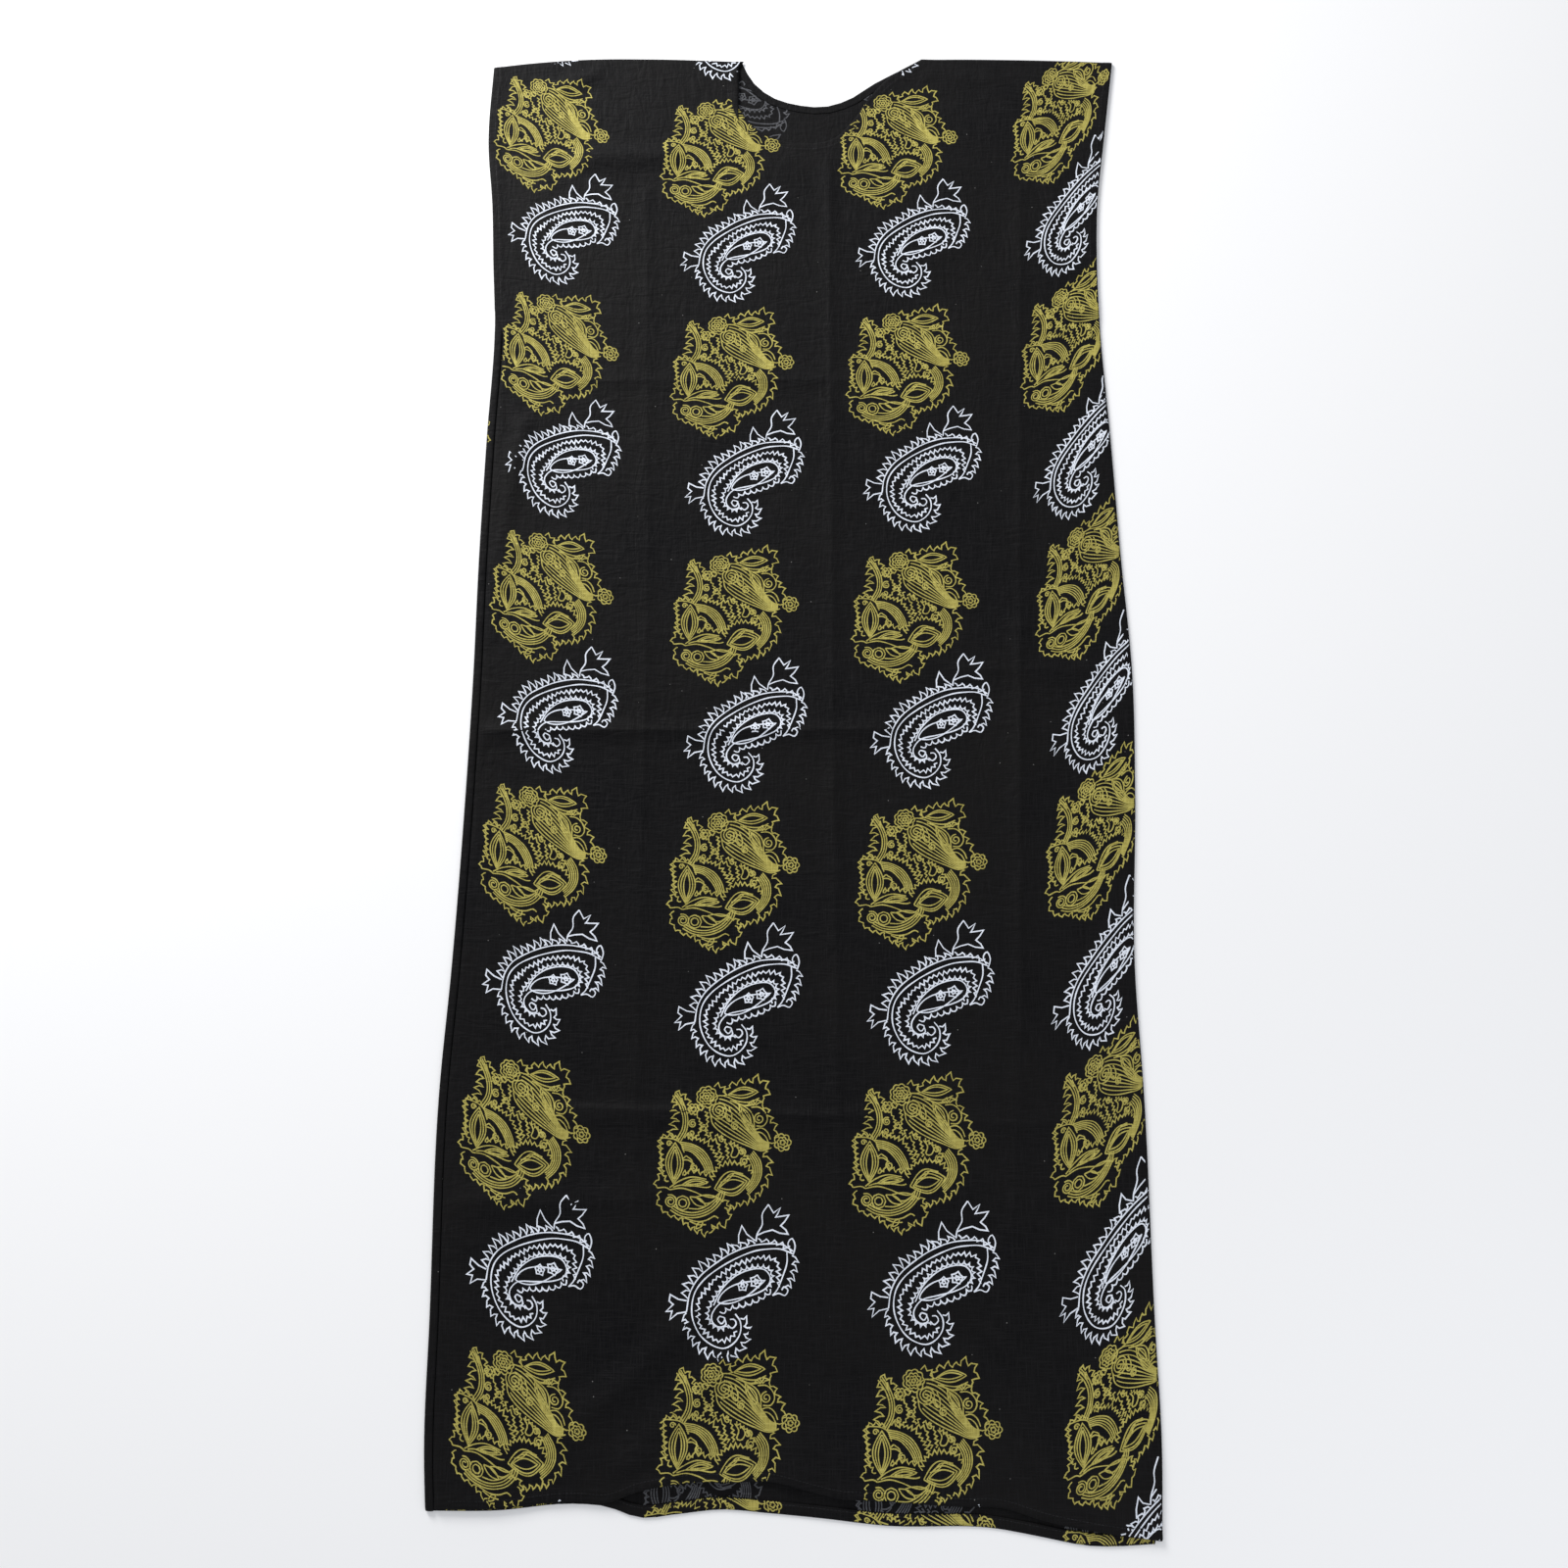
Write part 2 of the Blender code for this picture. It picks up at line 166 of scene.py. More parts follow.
# Fine creases in millimetres: a ridge where the rise is above nought, a trough where it is below
FINE_CREASES = table(
    ("from_x", "from_y", "to_x", "to_y", "half_width", "rise"),
    (36, 676, 35, -60, 5, 0.45), (35, -60, 40, -745, 5, 0.50),
    (250, 614, 233, 109, 6, 0.50), (233, 109, 220, -311, 6, 0.75), (220, -311, 199, -600, 6, 0.60),
    (-169, 616, -161, 110, 5, 0.25), (-161, 110, -165, -560, 5, 0.35),
    (58, 232, 57, 131, 5, 0.35), (62, -300, 62, -372, 5, 0.35),
    (-334, -3, 92, -3, 5, 0.60), (196, 61, 306, 61, 6, 0.45),
    (-236, -386, 44, -396, 5, 0.75), (170, -401, 240, -404, 5, 0.50),
    (-236, 390, 52, 390, 5, 0.35), (-233, 665, -146, 666, 7, 0.80),
    (-26, -453, 41, -453, 6, 0.35), (-31, 448, 39, 448, 7, 0.25), (38, 298, 92, 298, 6, 0.25),
    (-335, -478, -285, -472, 8, 0.45), (-285, -472, -225, -480, 8, 0.40), (-225, -480, -160, -474, 8, 0.35),
    (-112, -591, -209, -680, 9, 0.90), (-90, -604, -186, -700, 9, -0.60), (-62, -606, -166, -714, 9, 0.80),
    (-140, -584, -232, -662, 10, -0.50), (-30, -640, -120, -726, 9, 0.50), (-170, -590, -250, -650, 10, 0.35),
    (-279, 760, -240, 781, 8, -0.90), (-262, 752, -222, 770, 9, 0.60),
    (154, 784, 210, 764, 8, -0.60), (210, 764, 248, 726, 8, -0.70), (248, 726, 262, 690, 9, -0.40),
    (-297, 362, -309, 333, 7, -0.70), (-309, 333, -315, 269, 7, -0.80), (-315, 269, -329, 198, 7, -0.70),
    (-323, -20, -338, -86, 7, -0.60),
    (300, 700, 345, 735, 12, -0.60), (285, 640, 340, 668, 13, 0.45), (262, 560, 330, 600, 14, 0.30),
    (-330, 640, -270, 600, 14, 0.40), (-338, 700, -285, 640, 13, -0.35),
    (-30, 660, 10, 640, 10, 0.25), (60, 690, 110, 640, 14, 0.35), (88, 730, 150, 690, 13, -0.30),
    (-70, 700, -130, 640, 13, 0.35), (-84, 742, -150, 720, 12, -0.30),
    (92, -690, 100, -745, 12, 0.50), (150, -700, 146, -750, 12, -0.40), (240, -715, 246, -768, 13, 0.45),
    (-300, -690, -296, -750, 12, 0.40), (0, -690, -8, -735, 10, -0.70), (-100, -690, -104, -732, 10, -0.70),
)

# Middles of the gold and the white motifs in millimetres: a row for each column of the print, from the top
GOLD_PLACES = (
    (-285, 697), (-269, 428), (-269, 149), (-270, -128), (-280, -406), (-277, -681),
    (-93, 669), (-78, 403), (-74, 126), (-74, -153), (-83, -429), (-76, -689),
    (108, 678), (114, 406), (117, 129), (118, -150), (109, -427), (117, -695),
    (298, 715), (299, 439), (305, 160), (305, -114), (301, -395), (303, -669),
)
WHITE_PLACES = (
    (-264, 848), (-261, 574), (-254, 300), (-252, 20), (-258, -258), (-263, -538), (-262, -816),
    (-72, 830), (-65, 553), (-57, 280), (-55, 0), (-61, -279), (-66, -555), (-62, -830),
    (126, 836), (130, 558), (135, 284), (139, 4), (132, -277), (129, -552), (132, -828),
    (308, 871), (310, 593), (310, 308), (317, 31), (309, -251), (307, -530), (310, -806),
)

REPEAT = 277             # height of the print's repeat, in millimetres
INK_STEP = 2.3           # spacing of the points along a printed line, in millimetres
INK_EDGE = 0.00004       # how far the edge and the middle of a printed line stand off the cloth
INK_MIDDLE = 0.00010
INK_UNEVEN = 0.16        # how much a printed line's width swells and thins, as a share of it
STITCH_HALF = 0.00022    # half the width of the sewing thread


# Curves and steps

def through(places, values, at):
    """Reads values at places, on a smooth curve through the rows of a table."""
    at = np.asarray(at, float)
    slopes = np.gradient(values, places)
    row = np.clip(np.searchsorted(places, at) - 1, 0, len(places) - 2)
    span = places[row + 1] - places[row]
    share = np.clip((at - places[row]) / span, 0.0, 1.0)
    rest = 1.0 - share
    start = values[row] * (1 + 2 * share) + span * slopes[row] * share
    end = values[row + 1] * (1 + 2 * rest) - span * slopes[row + 1] * rest
    return start * rest * rest + end * share * share


def ease(share):
    """A soft step from 0 to 1."""
    share = np.clip(share, 0.0, 1.0)
    return share * share * (3 - 2 * share)


def left_edge(y):
    return through(SIDES["y"], SIDES["left"], y)


def right_edge(y):
    return through(SIDES["y"], SIDES["right"], y)


def fold_line(x):
    return through(SHOULDER_FOLD["x"], SHOULDER_FOLD["y"], x)


def spread(start, end, spacing, fine_start=False, fine_end=False):
    """Shares of the way from start to end, closer together beside a crease."""
    length = end - start
    marks = [0.0] + [step for step in CREASE_STEPS if fine_start]
    marks += [length - step for step in reversed(CREASE_STEPS) if fine_end] + [length]
    wide = int(np.argmax(np.diff(marks)))
    count = max(1, ceil((marks[wide + 1] - marks[wide]) / spacing))
    filled = list(np.linspace(marks[wide], marks[wide + 1], count + 1))
    return np.array(marks[:wide] + filled + marks[wide + 2:])[:-1] / length


# Heights of the front

def stretches(rows, x, y, along_noise=0.0):
    """Height of each straight stretch of a table of folds at points, with the depth uneven along it."""
    for number in range(len(rows["rise"])):
        from_x, from_y = rows["from_x"][number], rows["from_y"][number]
        run_x, run_y = rows["to_x"][number] - from_x, rows["to_y"][number] - from_y
        length = np.hypot(run_x, run_y)
        share = np.clip(((x - from_x) * run_x + (y - from_y) * run_y) / length ** 2, 0.0, 1.0)
        away = np.hypot(x - from_x - share * run_x, y - from_y - share * run_y)
        angle = np.clip(away / rows["half_width"][number], 0.0, 1.0) * pi / 2
        waves = np.sin(share * length * 37 + number) * np.sin(share * length * 13 + 2 * number)
        uneven = 1 + along_noise * waves
        yield rows["rise"][number] * np.cos(angle) ** 2 * uneven


def front_height(x, y):
    """Height of the front's face: flat on the back, over its turned-up hem, and raised in its folds."""
    main = np.zeros_like(x)
    for height in stretches(MAIN_FOLDS, x, y, 0.18):
        main = np.maximum(main, height)
    fine = np.zeros_like(x)
    for height in stretches(FINE_CREASES, x / MM, y / MM):
        fine += height * MM
    swell = 0.0005 * (1 + np.sin(x / 0.21 * 2 * pi + y * 5) * np.cos(y / 0.21 * 2 * pi))
    ripple = 0.00012 * np.sin(x * 150 + 4 * np.sin(y * 31)) * np.sin(y * 118 + 3 * np.sin(x * 43))
    ripple += 0.00010 * np.sin(x * 71 - y * 64 + 2 * np.sin(x * 25))
    from_seam = np.minimum(np.minimum(x - left_edge(y), right_edge(y) - x), fold_line(x) - y)
    over_turn = OVER_TURN * ease((BODY_LOW - y) / 0.030)
    return BASE + over_turn + (main + swell + fine + ripple) * ease(from_seam / 0.030)


# Edges: distance in from the outline in millimetres, height, and the way the cloth's right side faces, in
# degrees from straight up. A height is a share of the way up from the floor, or millimetres off the cloth.
ROLLED = table(
    ("inset", "up", "facing"),
    (10.2, 1.00, 0), (6.5, 1.00, 0), (3.2, 0.985, 8), (1.3, 0.88, 35), (0.35, 0.65, 65), (0.0, 0.42, 95),
    (0.45, 0.16, 140), (1.9, 0.02, 172), (6.0, 0.0, 180),
)
TURNED_UNDER = table(
    ("inset", "up", "facing"),
    (10.2, 0.0, 0), (8.8, 0.30, 0), (7.4, 0.16, 0), (3.2, 0.38, 0), (0.9, 0.25, 15), (0.15, -0.15, 60),
    (0.15, -0.65, 120), (1.2, -1.00, 170), (8.0, -1.00, 180),
)
GROOVE = table(
    ("inset", "up", "facing"),
    (19.0, 0.0, 0), (17.4, 0.22, 0), (13.0, 0.30, 0), (10.4, 0.10, 10), (9.5, -0.45, 40), (9.2, -0.95, 90),
    (9.5, -1.40, 140), (11.0, -1.55, 178), (16.5, -1.50, 180),
)
SIDE_STRIP = table(
    ("inset", "up", "facing"),
    (14.0, 0.0, 180), (6.0, 0.0, 180), (1.9, 0.02, 172), (0.45, 0.16, 140), (0.0, 0.42, 95), (0.35, 0.65, 65),
    (1.3, 0.88, 35), (3.2, 1.00, 8), (5.5, 1.05, 0), (7.4, 1.00, -15), (8.3, 0.84, -50), (8.6, 0.62, -90),
    (8.5, 0.50, -100),
)
TURNED_IN = table(
    ("inset", "up", "facing"),
    (14.0, 0.0, 180), (8.0, 0.0, 180), (4.0, 0.0, 180), (1.2, 0.06, 168), (0.3, 0.22, 130), (0.0, 0.48, 90),
    (0.3, 0.74, 50), (1.2, 0.90, 10), (3.0, 0.95, 0), (5.0, 0.95, 0), (7.0, 0.95, 0), (8.2, 0.92, 0),
    (8.6, 0.86, 0),
)
TURNED_UP = table(
    ("inset", "up", "facing"),
    (14.0, 0.0, 180), (8.0, 0.0, 180), (4.0, 0.02, 180), (1.4, 0.14, 165), (0.3, 0.50, 120), (0.0, 0.95, 90),
    (0.3, 1.40, 60), (1.4, 1.85, 20), (3.5, 2.05, 5), (6.0, 2.05, 0), (8.6, 1.95, -5), (10.4, 1.75, -10),
    (11.0, 1.55, -20),
)
SEAM_UNDER = table(
    ("inset", "up", "facing"),
    (20.0, 0.0, 180), (16.0, 0.0, 180), (13.0, 0.0, 180), (11.0, 0.0, 180), (9.6, 0.0, 180), (8.6, 0.0, 180),
    (7.9, 0.0, 180), (7.4, 0.02, 178), (7.0, 0.05, 170), (6.7, 0.09, 150), (6.5, 0.14, 130), (6.4, 0.18, 110),
    (6.4, 0.22, 100),
)
BUTTED = table(
    ("inset", "up", "facing"),
    (20.0, 0.0, 180), (18.0, 0.0, 180), (16.0, 0.0, 180), (14.5, 0.0, 180), (13.0, 0.0, 180),
    (12.0, 0.0, 180), (11.0, 0.0, 180), (10.0, 0.0, 180), (9.0, 0.0, 180), (8.0, 0.0, 180), (7.2, 0.0, 180),
    (6.5, 0.0, 180), (6.05, 0.0, 180),
)


def side_insets(profiles, y):
    """Distances of a ring's columns in from the side edge, by the seam or by the armhole's hem."""
    seam = ease((ARMHOLE_FOOT - y) / SEAM_FADE)
    return (profiles[0]["inset"] * seam + profiles[1]["inset"] * (1 - seam)) * MM


def left_columns(profiles, y):
    """The x of the left edge's columns at heights, the innermost one last."""
    flipped = [{"inset": profile["inset"][::-1]} for profile in profiles]
    return left_edge(y) + side_insets(flipped, y)


def right_columns(profiles, y):
    """The x of the right edge's columns at heights, the innermost one first."""
    return right_edge(y) - side_insets(profiles, y)


class Panel:
    """A grid of points over one half of the dress, with turned or rolled edges on all four sides.

    Rows run from the hem up and columns from left to right. The neck hole is cut by ending the columns
    between the shoulders on the neckline.
    """

    def __init__(self, hem, neck, spacing, fine, rings):
        self.hem, self.neck, self.ring = hem, neck, rings
        self.lay_columns(spacing[0], fine)
        self.lay_rows(spacing[1], fine)
        self.place()

    def lay_columns(self, spacing, fine):
        """Each column's interval between guides and its share of the way across it."""
        guides = [table(("y", "x"), *zip(SIDES["y"], SIDES["left"] + 0.020))]
        guides += list(COLUMN_GUIDES)
        guides += [table(("y", "x"), *zip(SIDES["y"], SIDES["right"] - 0.021))]
        self.guides = guides
        middle = [through(guide["y"], guide["x"], 0.0) for guide in guides]
        crease = [fine and number not in NECK_GUIDES for number in range(len(COLUMN_GUIDES))]
        crease = [False] + crease + [False]
        interval, share = [], []
        for number in range(len(guides) - 1):
            shares = spread(middle[number], middle[number + 1], spacing, crease[number], crease[number + 1])
            interval += [number] * len(shares)
            share += list(shares)
        self.interval = np.array(interval + [len(guides) - 2])
        self.share = np.array(share + [1.0])
        first, last = NECK_GUIDES[0] + 1, NECK_GUIDES[1] + 1
        self.neck_ends = [int(np.argmax(self.interval == guide)) for guide in (first, last)]

    def column_x(self, columns, y):
        """The x of inner columns at heights."""
        lines = np.array([through(guide["y"], guide["x"], y) for guide in self.guides])
        start = np.take_along_axis(lines, self.interval[columns][None], 0)[0]
        end = np.take_along_axis(lines, self.interval[columns][None] + 1, 0)[0]
        return start + (end - start) * self.share[columns]

    def lay_rows(self, spacing, fine):
        """Each row's interval between the crease heights and its share of the way up it."""
        interval, share = [], []
        for number in range(len(ROW_GUIDES) - 1):
            low, high = ROW_GUIDES[number][0], ROW_GUIDES[number + 1][0]
            creased = [fine and row in CREASE_ROWS for row in (number, number + 1)]
            shares = spread(low, high, spacing, *creased)
            interval += [number] * len(shares)
            share += list(shares)
        self.row_interval, self.row_share = np.array(interval), np.array(share)
        self.foot = spread(0.0, FOOT_DEPTH, spacing)[1:]
        self.head = spread(0.0, HEAD_DEPTH, spacing)[1:]

    def neckline(self, count):
        """Points along the neckline, each with its direction away from the hole."""
        steps = np.hypot(np.diff(self.neck["x"]), np.diff(self.neck["y"]))
        lengths = np.concatenate(([0.0], np.cumsum(steps))) / steps.sum()
        shares = np.linspace(0, 1, count)
        points = np.column_stack([through(lengths, self.neck[axis], shares) for axis in "xy"])
        ways = np.gradient(points, axis=0)
        away = np.column_stack((ways[:, 1], -ways[:, 0]))
        away /= np.linalg.norm(away, axis=1)[:, None]
        blend = ease(np.minimum(shares, 1 - shares) / 0.08)[:, None]
        corner = np.where(shares[:, None] < 0.5, (-0.64, -0.77), (0.64, -0.77))
        away = away * blend + corner * (1 - blend)
        return points, away / np.linalg.norm(away, axis=1)[:, None]

    def place(self):
        """Works out every point's x and y: the straight rows, then the rows below and above them."""
        left, right, foot, head = (self.ring[side] for side in ("left", "right", "foot", "head"))
        self.ring_left, self.ring_right = len(left[0]["inset"]), len(right[0]["inset"])
        self.ring_foot, self.ring_head = len(foot[0]["inset"]), len(head[0]["inset"])
        x, y = self.straight_rows(left, right)
        self.columns = x.shape[1]
        self.neck_from, self.neck_to = (self.ring_left + end for end in self.neck_ends)
        foot_x, foot_y = self.foot_rows(x[0], y[0], foot)
        head_x, head_y = self.head_rows(x[-1], y[-1], head)
        self.x = np.vstack((foot_x, x, head_x))
        self.y = np.vstack((foot_y, y, head_y))
        self.rows = self.x.shape[0]
        self.settle_sides(left, right)

    def straight_rows(self, left, right):
        """The rows between the hem and the shoulders, with the side columns inset from the side edges."""
        columns = np.arange(len(self.share))
        guide_y = []
        for height, slope in ROW_GUIDES:
            x = self.column_x(columns, np.full(len(columns), height))
            guide_y.append(height + slope * x)
        guide_y = np.array(guide_y)
        y = guide_y[self.row_interval]
        y = y + (guide_y[self.row_interval + 1] - y) * self.row_share[:, None]
        y = np.vstack((y, guide_y[-1]))
        all_columns = np.broadcast_to(columns, y.shape)
        x = self.column_x(all_columns.ravel(), y.ravel()).reshape(y.shape)
        left_y, right_y = y[:, :1], y[:, -1:]
        x = np.hstack((left_columns(left, left_y), x, right_columns(right, right_y)))
        return x, np.hstack((np.repeat(left_y, self.ring_left, 1), y, np.repeat(right_y, self.ring_right, 1)))

    def foot_rows(self, start_x, start_y, profiles):
        """The hem's ring and the rows that fill in from it to the straight rows."""
        hem_y = through(self.hem["x"], self.hem["y"], start_x)
        squeeze = (right_edge(hem_y) - left_edge(hem_y)) / (right_edge(BODY_LOW) - left_edge(BODY_LOW))
        hem_x = left_edge(hem_y) + (start_x - left_edge(BODY_LOW)) * squeeze
        ring_x = np.repeat(hem_x[None], self.ring_foot, 0)
        ring_y = hem_y + profiles[0]["inset"][:, None][::-1] * MM
        fill = self.foot[:, None]
        fill_x = ring_x[-1] + (start_x - ring_x[-1]) * fill
        fill_y = ring_y[-1] + (start_y - ring_y[-1]) * fill
        return np.vstack((ring_x, fill_x)), np.vstack((ring_y, fill_y))

    def head_rows(self, start_x, start_y, profiles):
        """The rows above the straight rows, and the ring along the shoulder fold and the neck."""
        top_y = fold_line(start_x)
        grow = (right_edge(top_y) - left_edge(top_y)) / (right_edge(BODY_HIGH) - left_edge(BODY_HIGH))
        top_x = left_edge(top_y) + (start_x - left_edge(BODY_HIGH)) * grow
        away = np.tile((0.0, -1.0), (self.columns, 1))
        neck = slice(self.neck_from, self.neck_to + 1)
        points, ways = self.neckline(self.neck_to - self.neck_from + 1)
        top_x[neck], top_y[neck] = points.T
        away[neck] = ways
        for rank in range(1, NECK_LEAN + 1):
            lean = (1 - rank / (NECK_LEAN + 1)) ** 2
            away[self.neck_from - rank] += (ways[0] - away[self.neck_from - rank]) * lean
            away[self.neck_to + rank] += (ways[-1] - away[self.neck_to + rank]) * lean
        is_left = np.arange(self.columns) < self.neck_from
        from_neck = np.where(is_left, self.neck["x"][0] - top_x, top_x - self.neck["x"][-1])
        self.folded = ease(from_neck / FOLD_FADE) * (self.columns_from_neck() > 0)
        fold_inset, hem_inset = (profile["inset"][:, None] for profile in profiles)
        inset = fold_inset * self.folded + hem_inset * (1 - self.folded)
        ring_x = top_x + away[:, 0] * inset * MM
        ring_y = top_y + away[:, 1] * inset * MM
        fill = self.head[:, None]
        fill_x = start_x + (ring_x[0] - start_x) * fill
        fill_y = start_y + (ring_y[0] - start_y) * fill
        return np.vstack((fill_x, ring_x)), np.vstack((fill_y, ring_y))

    def columns_from_neck(self):
        """How many columns each column is away from the neck hole."""
        columns = np.arange(self.columns)
        return np.maximum(self.neck_from - columns, columns - self.neck_to).clip(0)

    def left_ring(self):
        """The columns of the left edge."""
        return slice(0, self.ring_left)

    def right_ring(self):
        """The columns of the right edge."""
        return slice(self.columns - self.ring_right, self.columns)

    def settle_sides(self, left, right):
        """Sets the side columns of every row by the side seams, the armholes and their own heights."""
        self.x[:, self.left_ring()] = left_columns(left, self.y[:, self.left_ring()])
        self.x[:, self.right_ring()] = right_columns(right, self.y[:, self.right_ring()])


def side_and_end_rings(panel, rolled_up, flat_facing, turned=MM):
    """Height and facing of every point from the side rings, and the same from the foot and head rings.

    rolled_up turns a rolled profile's heights into metres, for some columns or rows of the grid.
    """
    shape = (panel.rows, panel.columns)
    side = {"up": np.zeros(shape), "facing": np.full(shape, flat_facing)}
    end = {"up": np.zeros(shape), "facing": np.full(shape, flat_facing)}
    seam = ease((ARMHOLE_FOOT - panel.y) / SEAM_FADE)
    for name in ("up", "facing"):
        for place, profiles in zip((panel.left_ring(), panel.right_ring()),
                                   (panel.ring["left"], panel.ring["right"])):
            first, second = (profile[name][None] for profile in profiles)
            if place.start == 0:
                first, second = first[:, ::-1], second[:, ::-1]
            if name == "up":
                first, second = rolled_up(first, profiles[0], (slice(None), place)), second * turned
            share = seam[:, place]
            side[name][:, place] = first * share + second * (1 - share)
        for place, profiles, share in ((slice(0, panel.ring_foot), panel.ring["foot"], 0.0),
                                       (slice(-panel.ring_head, None), panel.ring["head"], panel.folded)):
            first, second = (profile[name][:, None] for profile in profiles)
            if place.start == 0:
                first, second = first[::-1], second[::-1]
            if name == "up":
                first, second = rolled_up(first, profiles[0], (place, slice(None))), second * turned
            end[name][place] = first * share + second * (1 - share)
    return side, end


def front_panel():
    """The front's grid and its points."""
    rings = {
        "left": (GROOVE, TURNED_UNDER), "right": (ROLLED, TURNED_UNDER),
        "foot": (TURNED_UNDER, TURNED_UNDER), "head": (ROLLED, TURNED_UNDER),
    }
    panel = Panel(FRONT_HEM, FRONT_NECK, (0.0056, 0.0059), True, rings)
    x, y = panel.x, panel.y
    inside_x = np.clip(x, left_edge(y), right_edge(y))
    face = front_height(inside_x, np.minimum(y, fold_line(inside_x)))
    # the neck's hem settles on to the back, over the top rows and the columns beside it
    off_neck = np.minimum(panel.columns_from_neck(), 6) / 6
    from_top = np.arange(panel.rows)[::-1, None]
    face = face - NECK_SETTLES * ease(1 - from_top / 22) * (1 - off_neck)

    def rolled_up(up, profile, place):
        return (up - 1) * (face[place] - FLOOR_GAP) if profile is ROLLED else up * MM

    side, end = side_and_end_rings(panel, rolled_up, 0.0)
    return panel, assemble(panel, face, side, end, 1)


def back_panel():
    """The back's grid and its points: its right side on the floor, its sides and hems turned in."""
    rings = {
        "left": (SIDE_STRIP, TURNED_IN), "right": (SEAM_UNDER, TURNED_IN),
        "foot": (TURNED_UP, TURNED_UP), "head": (BUTTED, TURNED_IN),
    }
    panel = Panel(BACK_HEM, BACK_NECK, (0.013, 0.014), False, rings)
    top = BASE + OVER_TURN * ease((BODY_LOW - panel.y) / 0.030) - FLOOR_GAP

    def rolled_up(up, profile, place):
        return up * top[place] if profile is SIDE_STRIP or profile is SEAM_UNDER else up * MM

    side, end = side_and_end_rings(panel, rolled_up, 180.0)
    k = panel.ring_foot
    end["up"][:k] *= 1 + 0.12 * np.sin(panel.x[:k] * 47) * np.sin(panel.x[:k] * 21 + 1)
    return panel, assemble(panel, np.full_like(panel.x, FLOOR_GAP), side, end, -1)


def assemble(panel, face, side, end, up):
    """Puts the side and end rings together: below the waist the sides roll first, above it the fold does."""
    low = panel.y < 0
    side_angle, end_angle = np.radians(side["facing"]), np.radians(end["facing"])
    outward = np.where(np.arange(panel.columns) < panel.columns / 2, -1.0, 1.0)
    in_low, in_high = end["up"] * up, side["up"] * up
    height = np.where(low, side["up"] + in_low * np.cos(side_angle), end["up"] + in_high * np.cos(end_angle))
    x = panel.x + np.where(low, in_low * np.sin(side_angle) * outward, 0)
    y = panel.y + np.where(low, 0, in_high * np.sin(end_angle))
    return np.dstack((x, y, np.maximum(face + height, LOWEST)))


# Cloth meshes

def grid_normals(points, up):
    """Unit normals of a grid of points, to the side that faces up where it lies flat and up is 1."""
    along = np.gradient(points, axis=0)
    across = np.gradient(points, axis=1)
    normals = np.cross(across, along) * up
    return normals / np.maximum(np.linalg.norm(normals, axis=2), 1e-12)[..., None]


def cloth(name, outer, up):
    """A thin closed shell of cloth with the given right side, and the surfaces on either side of it."""
    rows, columns = outer.shape[:2]
    normals = grid_normals(outer, up)
    inner = outer - normals * CLOTH
    count = rows * columns
    index = np.arange(count).reshape(rows, columns)
    quads = np.stack((index[:-1, :-1], index[:-1, 1:], index[1:, 1:], index[1:, :-1]), -1).reshape(-1, 4)
    if up < 0:
        quads = quads[:, ::-1]
    border = np.concatenate((index[0, :-1], index[:-1, -1], index[-1, :0:-1], index[:0:-1, 0]))
    rim = np.stack((border, border + count, np.roll(border, -1) + count, np.roll(border, -1)), -1)
    if up < 0:
        rim = rim[:, ::-1]
    mesh = bpy.data.meshes.new(name)
    faces = np.vstack((quads, quads[:, ::-1] + count, rim))
    mesh.from_pydata(np.vstack((outer.reshape(-1, 3), inner.reshape(-1, 3))).tolist(), [], faces.tolist())
    mesh.shade_smooth()
    piece = bpy.data.objects.new(name, mesh)
    bpy.context.scene.collection.objects.link(piece)
    right_side = Surface(outer.reshape(-1, 3), normals.reshape(-1, 3), quads)
    wrong_side = Surface(inner.reshape(-1, 3), -normals.reshape(-1, 3), quads[:, ::-1])
    return piece, right_side, wrong_side


class Surface:
    """One side of a cloth, to lay print and thread on."""

    def __init__(self, points, normals, quads):
        self.points, self.normals = points, normals
        self.triangles = np.vstack((quads[:, (0, 1, 2)], quads[:, (0, 2, 3)]))
        self.tree = BVHTree.FromPolygons(points.tolist(), self.triangles.tolist())

    def meet(self, plan, downward=True):
        """The points over or under the plan's x and y, with smooth normals, and which were found."""
        start, way = (0.05, Vector((0, 0, -1))) if downward else (-0.05, Vector((0, 0, 1)))
        found = np.zeros(len(plan), bool)
        hit = np.zeros((len(plan), 3))
        face = np.zeros(len(plan), int)
        cast = self.tree.ray_cast
        for number, (x, y) in enumerate(plan.tolist()):
            place, _, triangle, _ = cast(Vector((x, y, start)), way)
            if place is not None:
                hit[number] = place
                face[number] = triangle
                found[number] = True
        corners = self.points[self.triangles[face]]
        first, second = corners[:, 1] - corners[:, 0], corners[:, 2] - corners[:, 0]
        off = hit - corners[:, 0]
        aa, ab, bb = (first * first).sum(1), (first * second).sum(1), (second * second).sum(1)
        pa, pb = (off * first).sum(1), (off * second).sum(1)
        area = np.maximum(aa * bb - ab * ab, 1e-24)
        v, w = (bb * pa - ab * pb) / area, (aa * pb - ab * pa) / area
        weights = np.stack((1 - v - w, v, w), 1)
        normals = (self.normals[self.triangles[face]] * weights[..., None]).sum(1)
        normals /= np.maximum(np.linalg.norm(normals, axis=1), 1e-9)[:, None]
        return hit, normals, found


# Line art of the print, in millimetres about the middle of a motif

